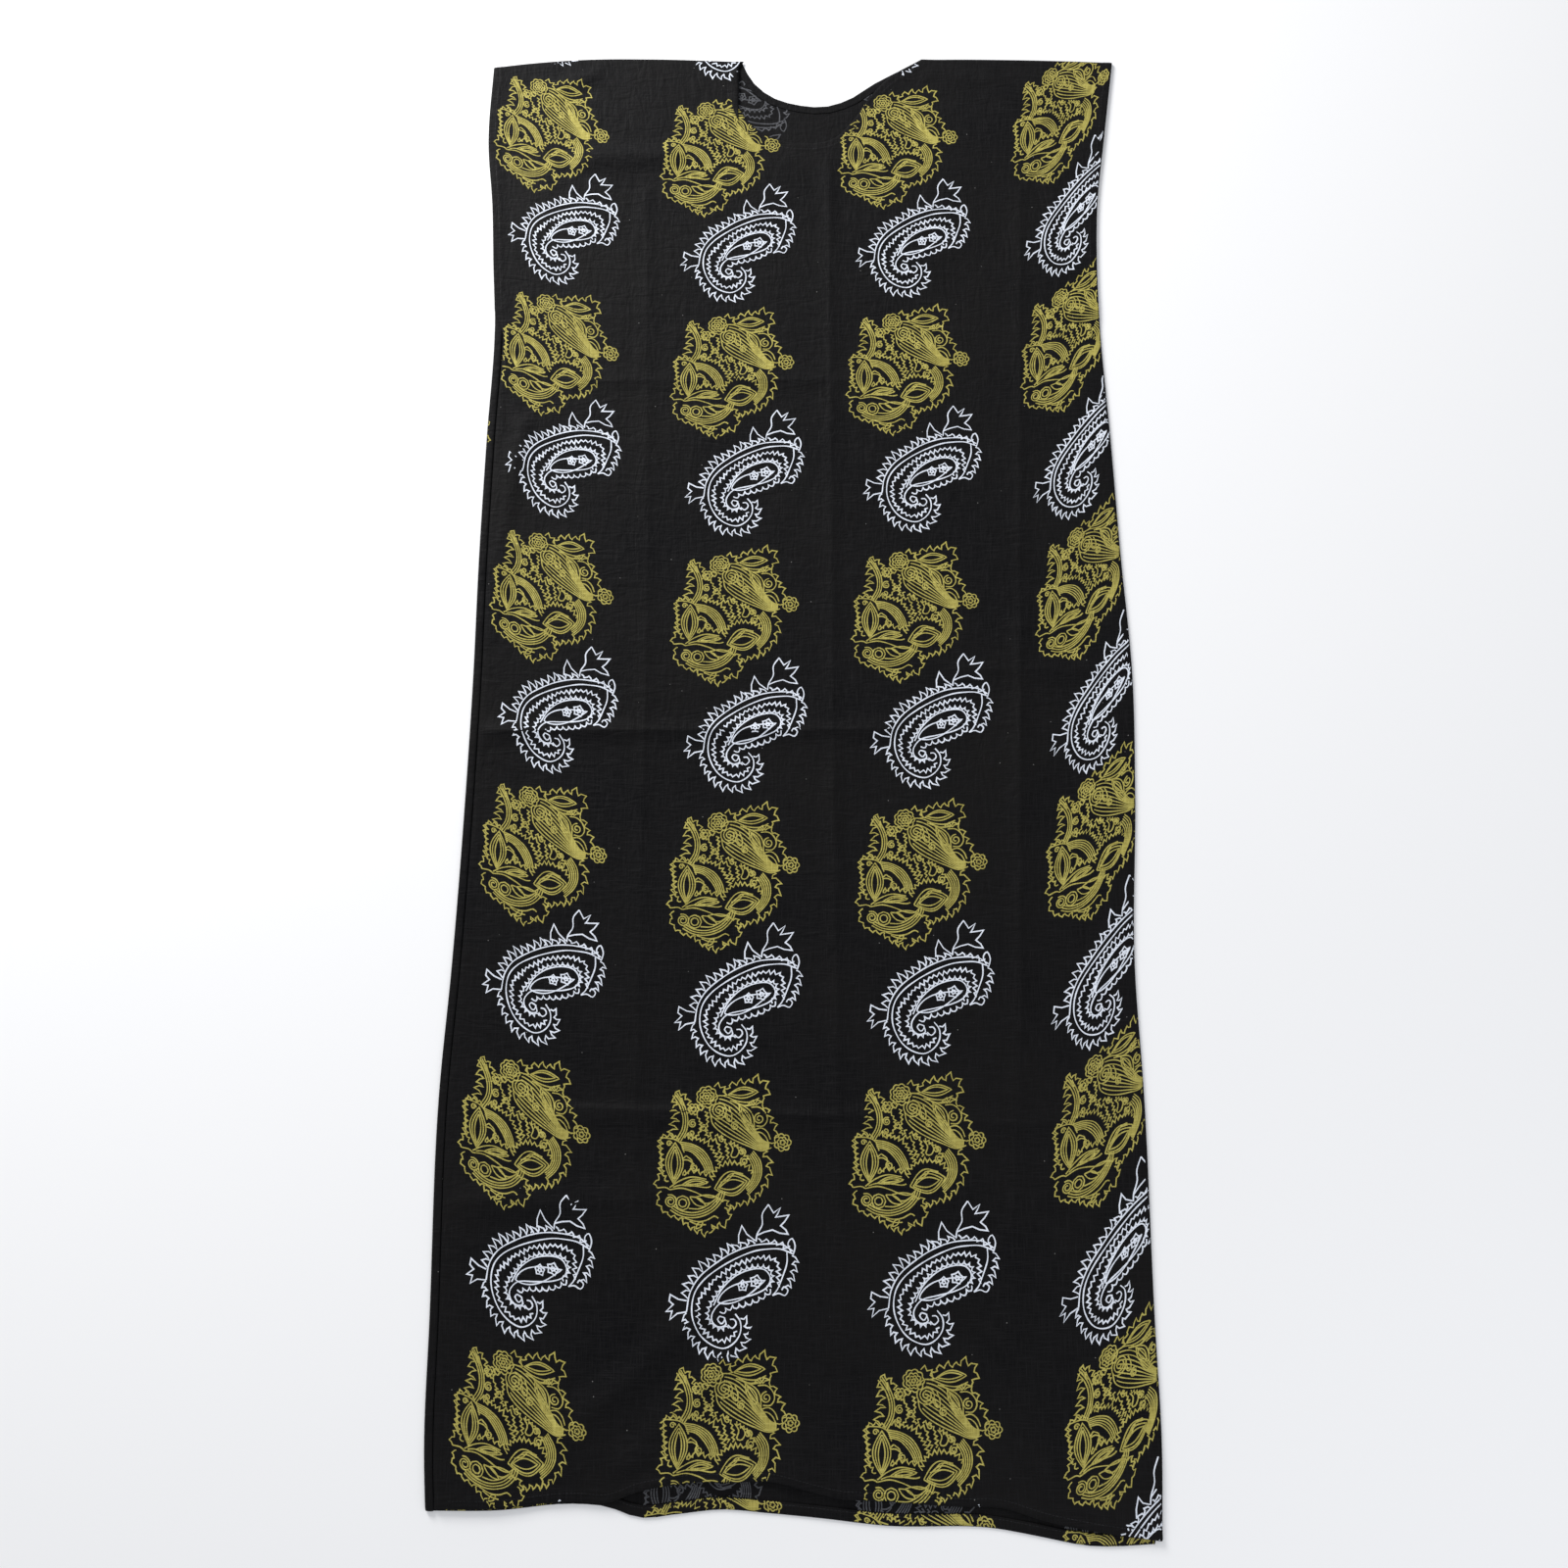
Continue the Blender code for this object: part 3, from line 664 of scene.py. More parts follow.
def smooth(points, step=INK_STEP):
    """A smooth line through given points, sampled evenly."""
    p = np.array(points, float)
    p = np.vstack((2 * p[0] - p[1], p, 2 * p[-1] - p[-2]))
    out = []
    for a, b, c, d in zip(p, p[1:], p[2:], p[3:]):
        count = max(2, ceil(np.hypot(*(c - b)) / (step * 0.5)))
        t = np.arange(count)[:, None] / count
        out.append(0.5 * (2 * b + (c - a) * t + (2 * a - 5 * b + 4 * c - d) * t ** 2
                          + (3 * b - a - 3 * c + d) * t ** 3))
    out.append(p[-2:-1])
    return even(np.vstack(out), step)


def even(line, step=INK_STEP):
    """The same line with its points a step apart."""
    line = np.asarray(line, float)
    lengths = np.concatenate(([0], np.cumsum(np.hypot(*np.diff(line, axis=0).T))))
    at = np.linspace(0, lengths[-1], max(2, int(round(lengths[-1] / step)) + 1))
    return np.column_stack([np.interp(at, lengths, line[:, axis]) for axis in (0, 1)])


def beside(line):
    """Unit directions to the left of a line at each of its points."""
    way = np.gradient(line, axis=0)
    way /= np.maximum(np.linalg.norm(way, axis=1), 1e-9)[:, None]
    return np.column_stack((-way[:, 1], way[:, 0]))


def offset(line, distance):
    return line + beside(line) * distance


def teeth(line, height, pitch, lean=0.0, start=0.0, uneven=0.0):
    """A jagged line of teeth to the left of a guide, leaning along it."""
    guide = even(line, 1.0)
    normal = beside(guide)
    way = np.column_stack((normal[:, 1], -normal[:, 0]))
    count = max(1, int(round((len(guide) - 1) / pitch)))
    out = []
    for number, mark in enumerate(np.linspace(0, len(guide) - 1, 2 * count + 1)):
        at = int(round(mark))
        tip = number % 2
        tall = height * (1 + uneven * sin(number * 2.4 + start * 5))
        out.append(guide[at] + normal[at] * (start + tall * tip) + way[at] * lean * height * tip)
    return np.array(out)


def flames(line, heights, lean=0.25):
    """Flame-shaped teeth to the left of a guide, one for each height, with their tips leaning along it."""
    guide = even(line, 0.8)
    normal = beside(guide)
    way = np.column_stack((normal[:, 1], -normal[:, 0]))
    marks = np.linspace(0, len(guide) - 1, len(heights) + 1)
    out = []
    for start, end, height in zip(marks, marks[1:], heights):
        pitch = (end - start) * 0.8
        for share, rise, push in ((0.0, 0.0, 0.0), (0.16, 0.52, 0.0), (0.5, 1.0, lean), (0.62, 0.40, 0.1)):
            at = int(round(start + (end - start) * share))
            out.append(guide[at] + normal[at] * height * rise + way[at] * pitch * push)
    out.append(guide[-1])
    return np.array(out)


def scallops(line, radius, pitch):
    """A row of round loops to the left of a guide."""
    guide = even(line, 0.8)
    normal = beside(guide)
    count = max(1, int(round((len(guide) - 1) * 0.8 / pitch)))
    marks = np.linspace(0, len(guide) - 1, count + 1)
    out = []
    for start, end in zip(marks, marks[1:]):
        for share, rise in ((0.0, 0.0), (0.18, 0.69), (0.5, 1.0), (0.82, 0.69)):
            at = int(round(start + (end - start) * share))
            out.append(guide[at] + normal[at] * radius * rise)
    out.append(guide[-1])
    return np.array(out)


def spiral(x, y, outer, inner, turns, start=0.0, hand=1):
    share = np.linspace(0, 1, max(10, int(turns * 14)))
    radius = outer + (inner - outer) * share
    angle = start + hand * turns * 2 * pi * share
    return even(np.column_stack((x + radius * np.cos(angle), y + radius * np.sin(angle))), 1.8)


def rosette(x, y, radius, petals, depth=0.22, turn=0.0):
    """A flower's outline with round petals."""
    angle = np.linspace(0, 2 * pi, petals * 6 + 1)
    reach = radius * (1 - depth + depth * np.abs(np.cos(angle * petals / 2)))
    return np.column_stack((x + reach * np.cos(angle + turn), y + reach * np.sin(angle + turn)))


def star(x, y, radius, points, inner=0.5, turn=0.0):
    number = np.arange(points * 2 + 1)
    angle = number * pi / points + turn
    reach = np.where(number % 2, radius * inner, radius)
    return np.column_stack((x + reach * np.cos(angle), y + reach * np.sin(angle)))


def leaf(x0, y0, x1, y1, left, right, power=1.0):
    """An almond leaf between two tips, with its own bulge to each side."""
    start, end = np.array((x0, y0), float), np.array((x1, y1), float)
    way = end - start
    normal = np.array((-way[1], way[0])) / np.hypot(*way)
    share = np.linspace(0, 1, max(8, int(np.hypot(*way) / 1.8)))
    swell = np.sin(pi * share ** power)[:, None]
    spine = start + way * share[:, None]
    outline = np.vstack((spine + normal * left * swell, (spine - normal * right * swell)[::-1]))
    return even(outline, INK_STEP * 0.9)


def between(one, two, count, trim=0.0):
    """Lines spread evenly between two guides, with their ends trimmed."""
    one, two = even(one, 1.5), even(two, 1.5)
    longest = max(len(one), len(two))
    share = np.linspace(0, 1, longest)
    first, second = (
        np.column_stack([np.interp(share, np.linspace(0, 1, len(line)), line[:, axis]) for axis in (0, 1)])
        for line in (one, two)
    )
    kept = slice(int(longest * trim), longest - int(longest * trim))
    return [even((first + (second - first) * k / (count + 1))[kept]) for k in range(1, count + 1)]


def paisley():
    """The white motif: a toothed paisley with a zigzag band, a scalloped band and two flowers."""
    rim = smooth([(58, 31), (48, 37), (34, 38), (17, 36), (0, 30), (-17, 20), (-33, 7), (-42, -8),
                  (-45, -25)])
    body = smooth([(57, 29), (46, 33), (33, 33), (20, 31), (4, 25), (-13, 16), (-28, 5), (-37, -7),
                   (-40, -21), (-38, -34), (-31, -47), (-21, -55), (-9, -58), (1, -53), (7, -44), (7, -34),
                   (2, -27)])
    band = smooth([(44, -2), (45, 10), (42, 22), (34, 26), (22, 25), (7, 21), (-8, 13), (-20, 3), (-30, -8),
                   (-35, -21), (-33, -34), (-26, -46), (-13, -52), (-2, -50), (3, -42)])
    tail = smooth([(-45, -26), (-42, -39), (-35, -50), (-24, -59), (-10, -62), (3, -58), (10, -48), (11, -38),
                   (7, -31)])
    drop = smooth([(-19, -19), (-11, -4), (2, 8), (17, 14), (30, 14), (36, 6), (32, -3), (20, -9), (4, -13),
                   (-12, -17), (-20, -26), (-20, -34), (-14, -39), (-7, -37), (-8, -32)])
    lines = [
        rim,
        body,
        # side of the head and the curl at its foot
        smooth([(52, 31), (52, 20), (48, 8), (43, -4), (38, -10)]),
        smooth([(38, -10), (44, -8), (50, -10), (53, -5), (49, -2), (47, -5)], 1.8),
        # flames from the head round to the tail
        flames(smooth([(-1, 31), (12, 36), (21, 38)])[::-1], (-5, -5, -6), 0.3),
        np.array([(5, 38), (5, 46), (8, 55), (13, 47), (21, 41)], float),
        flames(smooth([(2, 32), (-10, 26), (-24, 16)]), (-9, -8, -7, -8), 0.1),
        flames(smooth([(-24, 16), (-35, 6), (-42, -6), (-44, -13)]), (-11, -10, -8, -9, -7), 0.1),
        flames(tail, (-5, -6, -6, -7, -8, -8, -7, -8, -8, -7, -7, -6, -6), 0.3),
        # star leaf at the left, forked leaf at the upper right
        np.array([(-45, -15), (-53, -14), (-61, -10), (-62, -16), (-58, -19), (-65, -26), (-59, -25),
                  (-61, -33), (-54, -27), (-45, -25)], float),
        smooth([(22, 40), (23, 47), (28, 56), (28, 66), (34, 75)], 2.6),
        np.array([(34, 75), (39, 67), (46, 72), (43, 66), (41, 63), (48, 64), (54, 65), (50, 59), (46, 55),
                  (51, 51), (53, 47), (45, 48), (38, 51), (30, 49), (23, 46)], float),
        flames(smooth([(55, 36), (46, 40), (36, 42), (24, 43)]), (5, 4, 4, 3), 0.1),
        smooth([(56, 30), (53, 38), (57, 43), (60, 36), (58, 28), (57, 29)], 1.9),
        # teeth down the right of the head
        flames(smooth([(57, 27), (57, 17), (53, 6), (50, -2)]), (6, 6, 7, 6), 0.35),
        teeth(band, 3.2, 5.4, 0.2, -1.0, 0.35),
        # curled drop, its inner line, scallops and curls
        drop,
        leaf(-15, -16, 31, 4, 8.0, 7.0, 0.72),
        scallops(smooth([(33, -6), (40, 3), (37, 16), (24, 19), (8, 16), (-6, 8), (-16, -4), (-24, -17),
                         (-27, -28), (-22, -38), (-12, -43), (-4, -40)]), 3.4, 5.6),
        scallops(smooth([(36, -4), (24, -12), (10, -17), (-4, -20), (-13, -25)]), 3.6, 6.4),
        smooth([(-13, -29), (-8, -31), (-11, -36), (-15, -32), (-13, -29)], 1.8),
        smooth([(-3, -32), (1, -32), (3, -36), (-1, -40), (-5, -37)], 1.8),
    ]
    # flowers
    for x, y, radius, turn in ((9, -1, 5.2, 0.3), (22, 3, 6.0, 0.1)):
        lines.append(star(x, y, radius, 5, 0.72, turn))
        lines.append(star(x, y, radius * 0.42, 5, 0.6, turn + 0.6))
    return lines


def clump():
    """The gold motif: a packed round of small paisleys, leaves, swirls and flower heads with a jagged rim."""
    crescent = smooth([(-42, 54), (-35, 44), (-31, 32), (-32, 20), (-38, 9)])
    petals_top = smooth([(-7, 47), (0, 53), (10, 52), (20, 46), (30, 34), (38, 20), (46, 10), (55, 7)])
    petals_low = smooth([(-6, 35), (-4, 26), (4, 18), (16, 11), (30, 5), (44, 0), (54, 3)])
    stripe_out = smooth([(36, 0), (43, -10), (44, -22), (40, -32), (32, -41)])
    stripe_in = smooth([(31, -6), (35, -14), (36, -22), (33, -30), (28, -35)])
    feather_top = smooth([(-36, 8), (-24, 6), (-13, 0), (-6, -10), (-3, -20)])
    feather_low = smooth([(-34, 1), (-25, -1), (-18, -7), (-13, -14), (-10, -21)])
    sweep_top = smooth([(-46, -38), (-34, -36), (-22, -39), (-12, -43), (-2, -44), (5, -38)])
    sweep_low = smooth([(-44, -55), (-34, -60), (-20, -61), (-6, -56), (3, -47), (6, -39)])
    lines = [
        # crescent leaf with teeth, upper left
        crescent,
        offset(crescent, 2.2),
        offset(crescent, -2.4),
        flames(smooth([(-40, 53), (-38, 42), (-37, 30), (-39, 20), (-42, 12)]), (-6, -8, -8, -9, -8), 0.2),
        flames(smooth([(-42, 54), (-36, 53), (-30, 47), (-28, 38)]), (4, 4, 4, 4), 0.1),
        # flower heads along the top
        rosette(-10, 52, 10.5, 9, 0.14),
        rosette(-10, 52, 7.4, 8, 0.2, 0.4),
        rosette(-10, 52, 4.6, 6, 0.25, 0.1),
        rosette(-10, 52, 2.0, 5, 0.3),
        rosette(-23, 40, 5.5, 6, 0.3),
        rosette(-23, 40, 2.6, 5, 0.3),
        rosette(-16, 42, 3.0, 5, 0.3),
        np.array([(-3, 62), (1, 66), (3, 61), (8, 62), (6, 57), (10, 54), (4, 53)], float),
        # swirl with its sweeping petals
        spiral(2, 39, 9.5, 1.2, 2.8, 2.4),
        petals_top,
        petals_low,
        smooth([(8, 36), (10, 30), (14, 28), (15, 34), (12, 42)]),
        smooth([(10, 35), (11, 31), (13, 31)], 1.8),
        spiral(18, 24, 4.5, 1, 1.8, 0.5),
        # lobed paisley with a dark slot, upper right
        leaf(13, 55, 37, 57, 3.4, 2.4),
        leaf(11, 54, 41, 57, 6.0, 4.6),
        flames(smooth([(9, 54), (14, 62), (26, 64), (38, 66), (46, 64), (48, 56), (42, 50), (32, 47)]),
               (4, 4, 6, 4, 8, 6, 5, 4, 4), 0.1),
        smooth([(10, 52), (20, 48), (32, 47), (42, 51)]),
        smooth([(16, 48), (26, 44), (34, 45)]),
        # leaves down the right side
        leaf(24, 42, 34, 26, 3.0, 3.0),
        leaf(22, 45, 37, 23, 5.5, 5.5),
        spiral(42, 31, 5.5, 1.4, 1.6, 1.5),
        smooth([(34, 42), (42, 42), (48, 37), (50, 30), (46, 24), (39, 24)]),
        flames(smooth([(31, 45), (40, 44), (48, 39), (51, 30), (56, 22), (57, 12)]), (4, 5, 4, 5, 5, 4), 0.1),
        smooth([(36, 20), (44, 22), (50, 18), (53, 11)]),
        smooth([(34, 16), (42, 18), (48, 14), (51, 8)]),
        # flower that stands off at the right
        rosette(65, 8, 8.5, 7, 0.22),
        rosette(65, 8, 5.4, 7, 0.2, 0.3),
        rosette(65, 8, 2.6, 5, 0.3),
        smooth([(54, 7), (58, 8)], 2.0),
        # striped band and its long teeth, lower right
        stripe_out,
        stripe_in,
        flames(smooth([(40, 2), (47, -8), (49, -20), (45, -32), (38, -41)]), (6, 7, 6, 6, 5), 0.35),
        flames(smooth([(38, -42), (28, -47), (18, -50), (8, -54)]), (5, 5, 4, 5, 4), 0.2),
        smooth([(30, -40), (33, -44), (31, -49)]),
        # eye of two leaves, lower right
        leaf(3, -35, 27, -30, 5.0, 4.2),
        leaf(1, -36, 30, -29, 8.6, 7.8),
        leaf(-2, -36, 33, -28, 12.5, 10.5),
        smooth([(4, -30), (12, -27), (18, -21), (26, -22)]),
        teeth(smooth([(-3, -28), (2, -17), (14, -13), (27, -15), (34, -22)]), 3.6, 4.4, 0.1, 0, 0.3),
        # standing leaf at the left
        leaf(-42, -28, -41, 1, 3.2, 3.2),
        leaf(-42, -30, -41, 4, 6.0, 6.0),
        leaf(-42, -32, -41, 7, 8.6, 8.6),
        scallops(smooth([(-53, 11), (-53, 0), (-52, -12), (-51, -22), (-47, -30)]), -3.0, 5.0),
        smooth([(-56, 11), (-48, 11), (-41, 10), (-35, 6), (-32, -2)]),
        flames(smooth([(-38, 10), (-47, 12), (-55, 11)]), (-3, -3, -3), 0.1),
        teeth(smooth([(-55, 10), (-55, 0), (-54, -12), (-54, -22)]), -2.6, 5.0, 0.2, 0, 0.4),
        spiral(-47, 6, 3.0, 0.9, 1.3, 0),
        # feather fan across the middle left
        feather_top,
        feather_low,
        teeth(smooth([(-32, 12), (-22, 11), (-10, 6), (-3, -3), (1, -13)]), 3.6, 4.2, 0.2, 0, 0.3),
        smooth([(-30, -5), (-24, -10), (-26, -18), (-32, -24)]),
        smooth([(-30, -5), (-34, -9), (-28, -9), (-22, -13)]),
        spiral(-22, -16, 3.8, 1.0, 1.5, 2.0),
        flames(smooth([(-33, -24), (-24, -21), (-14, -23), (-5, -25)]), (4, 4, 4, 4, 4), 0.1),
        # jagged worms and curls in the middle
        teeth(smooth([(-29, 36), (-21, 34), (-17, 26), (-19, 16), (-27, 12)]), 2.2, 3.6, 0, 0, 0.3),
        spiral(-24, 26, 4.2, 1.0, 1.8, 1.0),
        spiral(-25, 17, 3.2, 1.0, 1.4, 3.0),
        teeth(smooth([(-12, 38), (-10, 27), (-12, 17), (-8, 12), (-4, 18)]), 2.2, 3.8, 0, 0, 0.3),
        teeth(smooth([(-8, 10), (0, 8), (2, -2), (5, -9)]), 2.6, 4.0, 0, 0, 0.3),
        teeth(smooth([(-2, 14), (7, 10), (9, 0), (10, -8)]), 2.4, 3.8, 0, 0, 0.3),
        smooth([(12, 8), (16, 2), (14, -5), (19, -6), (22, 0), (18, 6)]),
        teeth(smooth([(14, 10), (22, 5), (28, -1), (33, -8)]), -2.6, 4.0, 0, 0, 0.3),
        spiral(25, -1, 3.6, 1, 1.5, 0),
        spiral(27, -10, 4.0, 1.2, 1.6, 2),
        spiral(-13, 22, 3.4, 1.2, 1.4, 1),
        spiral(5, 11, 3.0, 1.0, 1.3, 1),
        # long sweep with two rings, lower left
        sweep_top,
        sweep_low,
        offset(sweep_low, -2.4),
        offset(sweep_low, 2.4),
        rosette(-33, -50, 6.6, 8, 0.06),
        rosette(-33, -50, 3.8, 7, 0.06),
        spiral(-45, -49, 6.6, 1.6, 2.2, 2.0, -1),
        leaf(-26, -44, -10, -53, 3.4, 3.4),
        leaf(-20, -44, 1, -44, 2.0, 6.0),
        smooth([(-27, -55), (-16, -55), (-6, -50), (1, -44)]),
        leaf(-34, -33, -8, -30, 4.5, 2.0),
        leaf(-30, -32, -12, -30, 2.2, 0.8),
        smooth([(-46, -36), (-36, -29), (-24, -25), (-10, -27)]),
        # jagged rim of the lower left and the bottom
        flames(smooth([(-52, -23), (-57, -30), (-58, -37)]), (-4, -4), 0.1),
        smooth([(-58, -37), (-50, -36), (-46, -38)]),
        flames(smooth([(-54, -40), (-56, -50), (-50, -58), (-41, -62), (-33, -64)]), (-3,) * 5, 0.1),
        flames(smooth([(-32, -64), (-26, -70), (-16, -74), (-8, -76)]), (-4, -4, -5, -6), 0.2),
        flames(smooth([(-7, -78), (-4, -70), (3, -68), (10, -66), (11, -58)]), (-4, -5, -6, -4), 0.2),
        smooth([(-31, -64), (-20, -67), (-10, -66), (-2, -62), (2, -64)]),
        smooth([(-26, -67), (-18, -70), (-10, -70)]),
        leaf(-20, -74, -13, -67, 2.2, 2.2),
        flames(smooth([(0, -49), (6, -48), (11, -53), (12, -58)]), (3, 4, 3), 0.1),
    ]
    lines += between(smooth([(-42, 53), (-37, 45)]), smooth([(-33, 50), (-31, 42)]), 3)
    lines += between(petals_top[4:], petals_low[4:], 8, 0.04)
    lines += between(smooth([(14, 50), (28, 46), (40, 48)]), smooth([(12, 47), (26, 41), (36, 42)]), 1)
    lines += between(smooth([(30, 28), (38, 18), (48, 9)]), smooth([(22, 30), (32, 16), (46, 4)]), 3)
    lines += between(stripe_out, stripe_in, 3)
    lines += between(smooth([(6, -30), (14, -23), (26, -25)]), smooth([(8, -28), (16, -20), (27, -23)]), 1)
    lines += between(feather_top, feather_low, 3)
    lines += between(sweep_top, smooth([(-46, -36), (-36, -29), (-24, -25), (-10, -27)]), 1, 0.1)
    return lines


# How the print lies on the dress: the cloth is pulled out of square towards both sides

def pull(x):
    """How far the cloth's crosswise threads are pulled up at an x, in millimetres."""
    return 0.00265 * np.maximum(x - 185, 0) ** 2 + 0.00075 * np.maximum(-90 - x, 0) ** 2


PULL_X = np.linspace(-460, 460, 921)
PULL_ALONG = np.concatenate(([0], np.cumsum(np.hypot(1, np.diff(pull(PULL_X))))))


def lay_motif(line, place):
    """A line of a motif on the plan of the dress, in metres."""
    centre_x, centre_y = place
    along = np.interp(centre_x, PULL_X, PULL_ALONG) + line[:, 0]
    x = np.interp(along, PULL_ALONG, PULL_X)
    y = centre_y + line[:, 1] + pull(x) - pull(np.array(float(centre_x)))
    return np.column_stack((x, y)) * MM


def in_hole(neck, x, y):
    """Which points lie in the neck hole: a line from them crosses its edge an odd number of times."""
    ring = np.column_stack((neck["x"], neck["y"]))
    inside = np.zeros(len(x), bool)
    for (ax, ay), (bx, by) in zip(ring, np.roll(ring, -1, 0)):
        if ay == by:
            continue
        crossing = (ay > y) != (by > y)
        inside ^= crossing & (x < (bx - ax) * (y - ay) / (by - ay) + ax)
    return inside


def finer_neck(neck):
    """The neckline with many points, for the test of what lies in the hole."""
    steps = np.concatenate(([0], np.cumsum(np.hypot(np.diff(neck["x"]), np.diff(neck["y"])))))
    at = np.linspace(0, steps[-1], 90)
    return {axis: through(steps, neck[axis], at) for axis in "xy"}


FRONT_HOLE, BACK_HOLE = finer_neck(FRONT_NECK), finer_neck(BACK_NECK)


def on_front(plan):
    """Which points of a plan are on the front's face."""
    x, y = plan.T
    seam = 0.0092 * ease((ARMHOLE_FOOT - y) / SEAM_FADE)
    return ((x > left_edge(y) + 0.0003 + seam) & (x < right_edge(y) - 0.0003)
            & (y > through(FRONT_HEM["x"], FRONT_HEM["y"], x) + 0.0004) & (y < fold_line(x) - 0.0004)
            & ~in_hole(FRONT_HOLE, x, y))


def on_back(plan):
    """Which points of a plan are on the underside of the back."""
    x, y = plan.T
    return ((x > left_edge(y) + 0.0006) & (x < right_edge(y) - 0.0072)
            & (y > through(BACK_HEM["x"], BACK_HEM["y"], x) + 0.0006) & (y < fold_line(x) - 0.0012)
            & ~in_hole(BACK_HOLE, x, y))


def in_strip(plan):
    """Which points of a plan are on the back's cloth where it rolls over the left edge."""
    x, y = plan.T
    inset = x - left_edge(y)
    return (inset > 0.0004) & (inset < 0.0082) & (y < ARMHOLE_FOOT - SEAM_FADE) & (y > -0.752)


def on_turnup(plan):
    """Which points of a plan are on the back's turned-up hem."""
    x, y = plan.T
    inset = y - through(BACK_HEM["x"], BACK_HEM["y"], x)
    return (inset > 0.0004) & (inset < 0.0108) & (x > left_edge(y) + 0.010) & (x < right_edge(y) - 0.004)


def on_inside(plan):
    """Which points of a plan are on the inside of the back where it can be seen."""
    x, y = plan.T
    hem = y - through(BACK_HEM["x"], BACK_HEM["y"], x)
    low = (hem > 0.0112) & (y < -0.715) & (x > left_edge(y) + 0.012) & (x < right_edge(y) - 0.008)
    back = ~in_hole(BACK_HOLE, x, y) & (y > 0.66) & (y < fold_line(x) - 0.002)
    return low | (back & (np.abs(x - 0.035) < 0.125))


def clipped(line, inside):
    """The runs of a line that lie inside, cut where they cross its border."""
    keep = inside(line)
    if not keep.any():
        return []
    if keep.all():
        return [line]
    out, run = [], []
    for number in range(len(line)):
        if number and keep[number] != keep[number - 1]:
            start, end = line[number - 1], line[number]
            low, high = (start, end) if keep[number - 1] else (end, start)
            for _ in range(6):
                middle = (low + high) / 2
                if inside(middle[None])[0]:
                    low = middle
                else:
                    high = middle
            run.append(low)
            if not keep[number]:
                out.append(np.array(run))
                run = []
        if keep[number]:
            run.append(line[number])
    if run:
        out.append(np.array(run))
    return [run for run in out if len(run) > 1 and np.hypot(*(run[-1] - run[0])) + len(run) * MM > 0.0015]


def ink(name, runs, surface, half_width, downward=True, seed=1):
    """Printed lines as one piece: thin flat ribbons that lie on the cloth, a little uneven in width."""
    rng = np.random.default_rng(seed)
    plans, starts, total = [], [], 0
    for run in runs:
        way = np.diff(run, axis=0)
        way /= np.maximum(np.linalg.norm(way, axis=1), 1e-9)[:, None]
        side = np.column_stack((-way[:, 1], way[:, 0]))
        corner = np.vstack((side[0], (side[1:] + side[:-1]) / 2, side[-1]))
        corner /= np.maximum((corner ** 2).sum(1), 0.2)[:, None]
        waves = np.sin(rng.uniform(0, 6) + np.arange(len(run)) * rng.uniform(0.2, 0.6))
        wide = half_width * (1 + INK_UNEVEN * waves)
        reach = corner * wide[:, None]
        plans.append(np.stack((run + reach, run, run - reach), 1))
        starts.append((total, len(run)))
        total += len(run)
    plan = np.concatenate(plans)
    hit, normal, found = surface.meet(plan.reshape(-1, 2), downward)
    stand = np.tile((INK_EDGE, INK_MIDDLE, INK_EDGE), total)
    verts = hit + normal * stand[:, None]
    whole = found.reshape(-1, 3).all(1)
    quads = []
    for start, count in starts:
        rows = np.arange(start, start + count - 1)
        rows = rows[whole[rows] & whole[rows + 1]]
        for side in (0, 1):
            a, b = rows * 3 + side, rows * 3 + side + 1
            quads.append(np.column_stack((a, b, b + 3, a + 3)))
    quads = np.concatenate(quads)
    if not downward:
        quads = quads[:, ::-1]
    used = np.unique(quads)
    renumber = np.zeros(len(verts), int)
    renumber[used] = np.arange(len(used))
    mesh = bpy.data.meshes.new(name)
    mesh.from_pydata(verts[used].tolist(), [], renumber[quads].tolist())
    mesh.shade_smooth()
    mesh.normals_split_custom_set_from_vertices(normal[used].tolist())
    piece = bpy.data.objects.new(name, mesh)
    bpy.context.scene.collection.objects.link(piece)
    return piece


# Materials

def node(tree, kind, inputs=(), **settings):
    """Adds a shader node, sets its fields, and links or sets its inputs."""
    made = tree.nodes.new(kind)
    for field, value in settings.items():
        setattr(made, field, value)
    for socket, value in dict(inputs).items():
        if isinstance(value, bpy.types.NodeSocket):
            tree.links.new(value, made.inputs[socket])
        else:
            made.inputs[socket].default_value = value
    return made


def group(name, outputs, inputs=()):
    """A shader node group with its own sockets."""
    tree = bpy.data.node_groups.new(name, "ShaderNodeTree")
    for socket, kind, value in inputs:
        made = tree.interface.new_socket(socket, in_out="INPUT", socket_type=kind)
        made.default_value = value
    for socket, kind in outputs:
        tree.interface.new_socket(socket, in_out="OUTPUT", socket_type=kind)
    return tree, tree.nodes.new("NodeGroupInput"), tree.nodes.new("NodeGroupOutput")


def maths(tree, operation, first, second=0.0, third=0.0):
    return node(tree, "ShaderNodeMath", {0: first, 1: second, 2: third}, operation=operation).outputs[0]


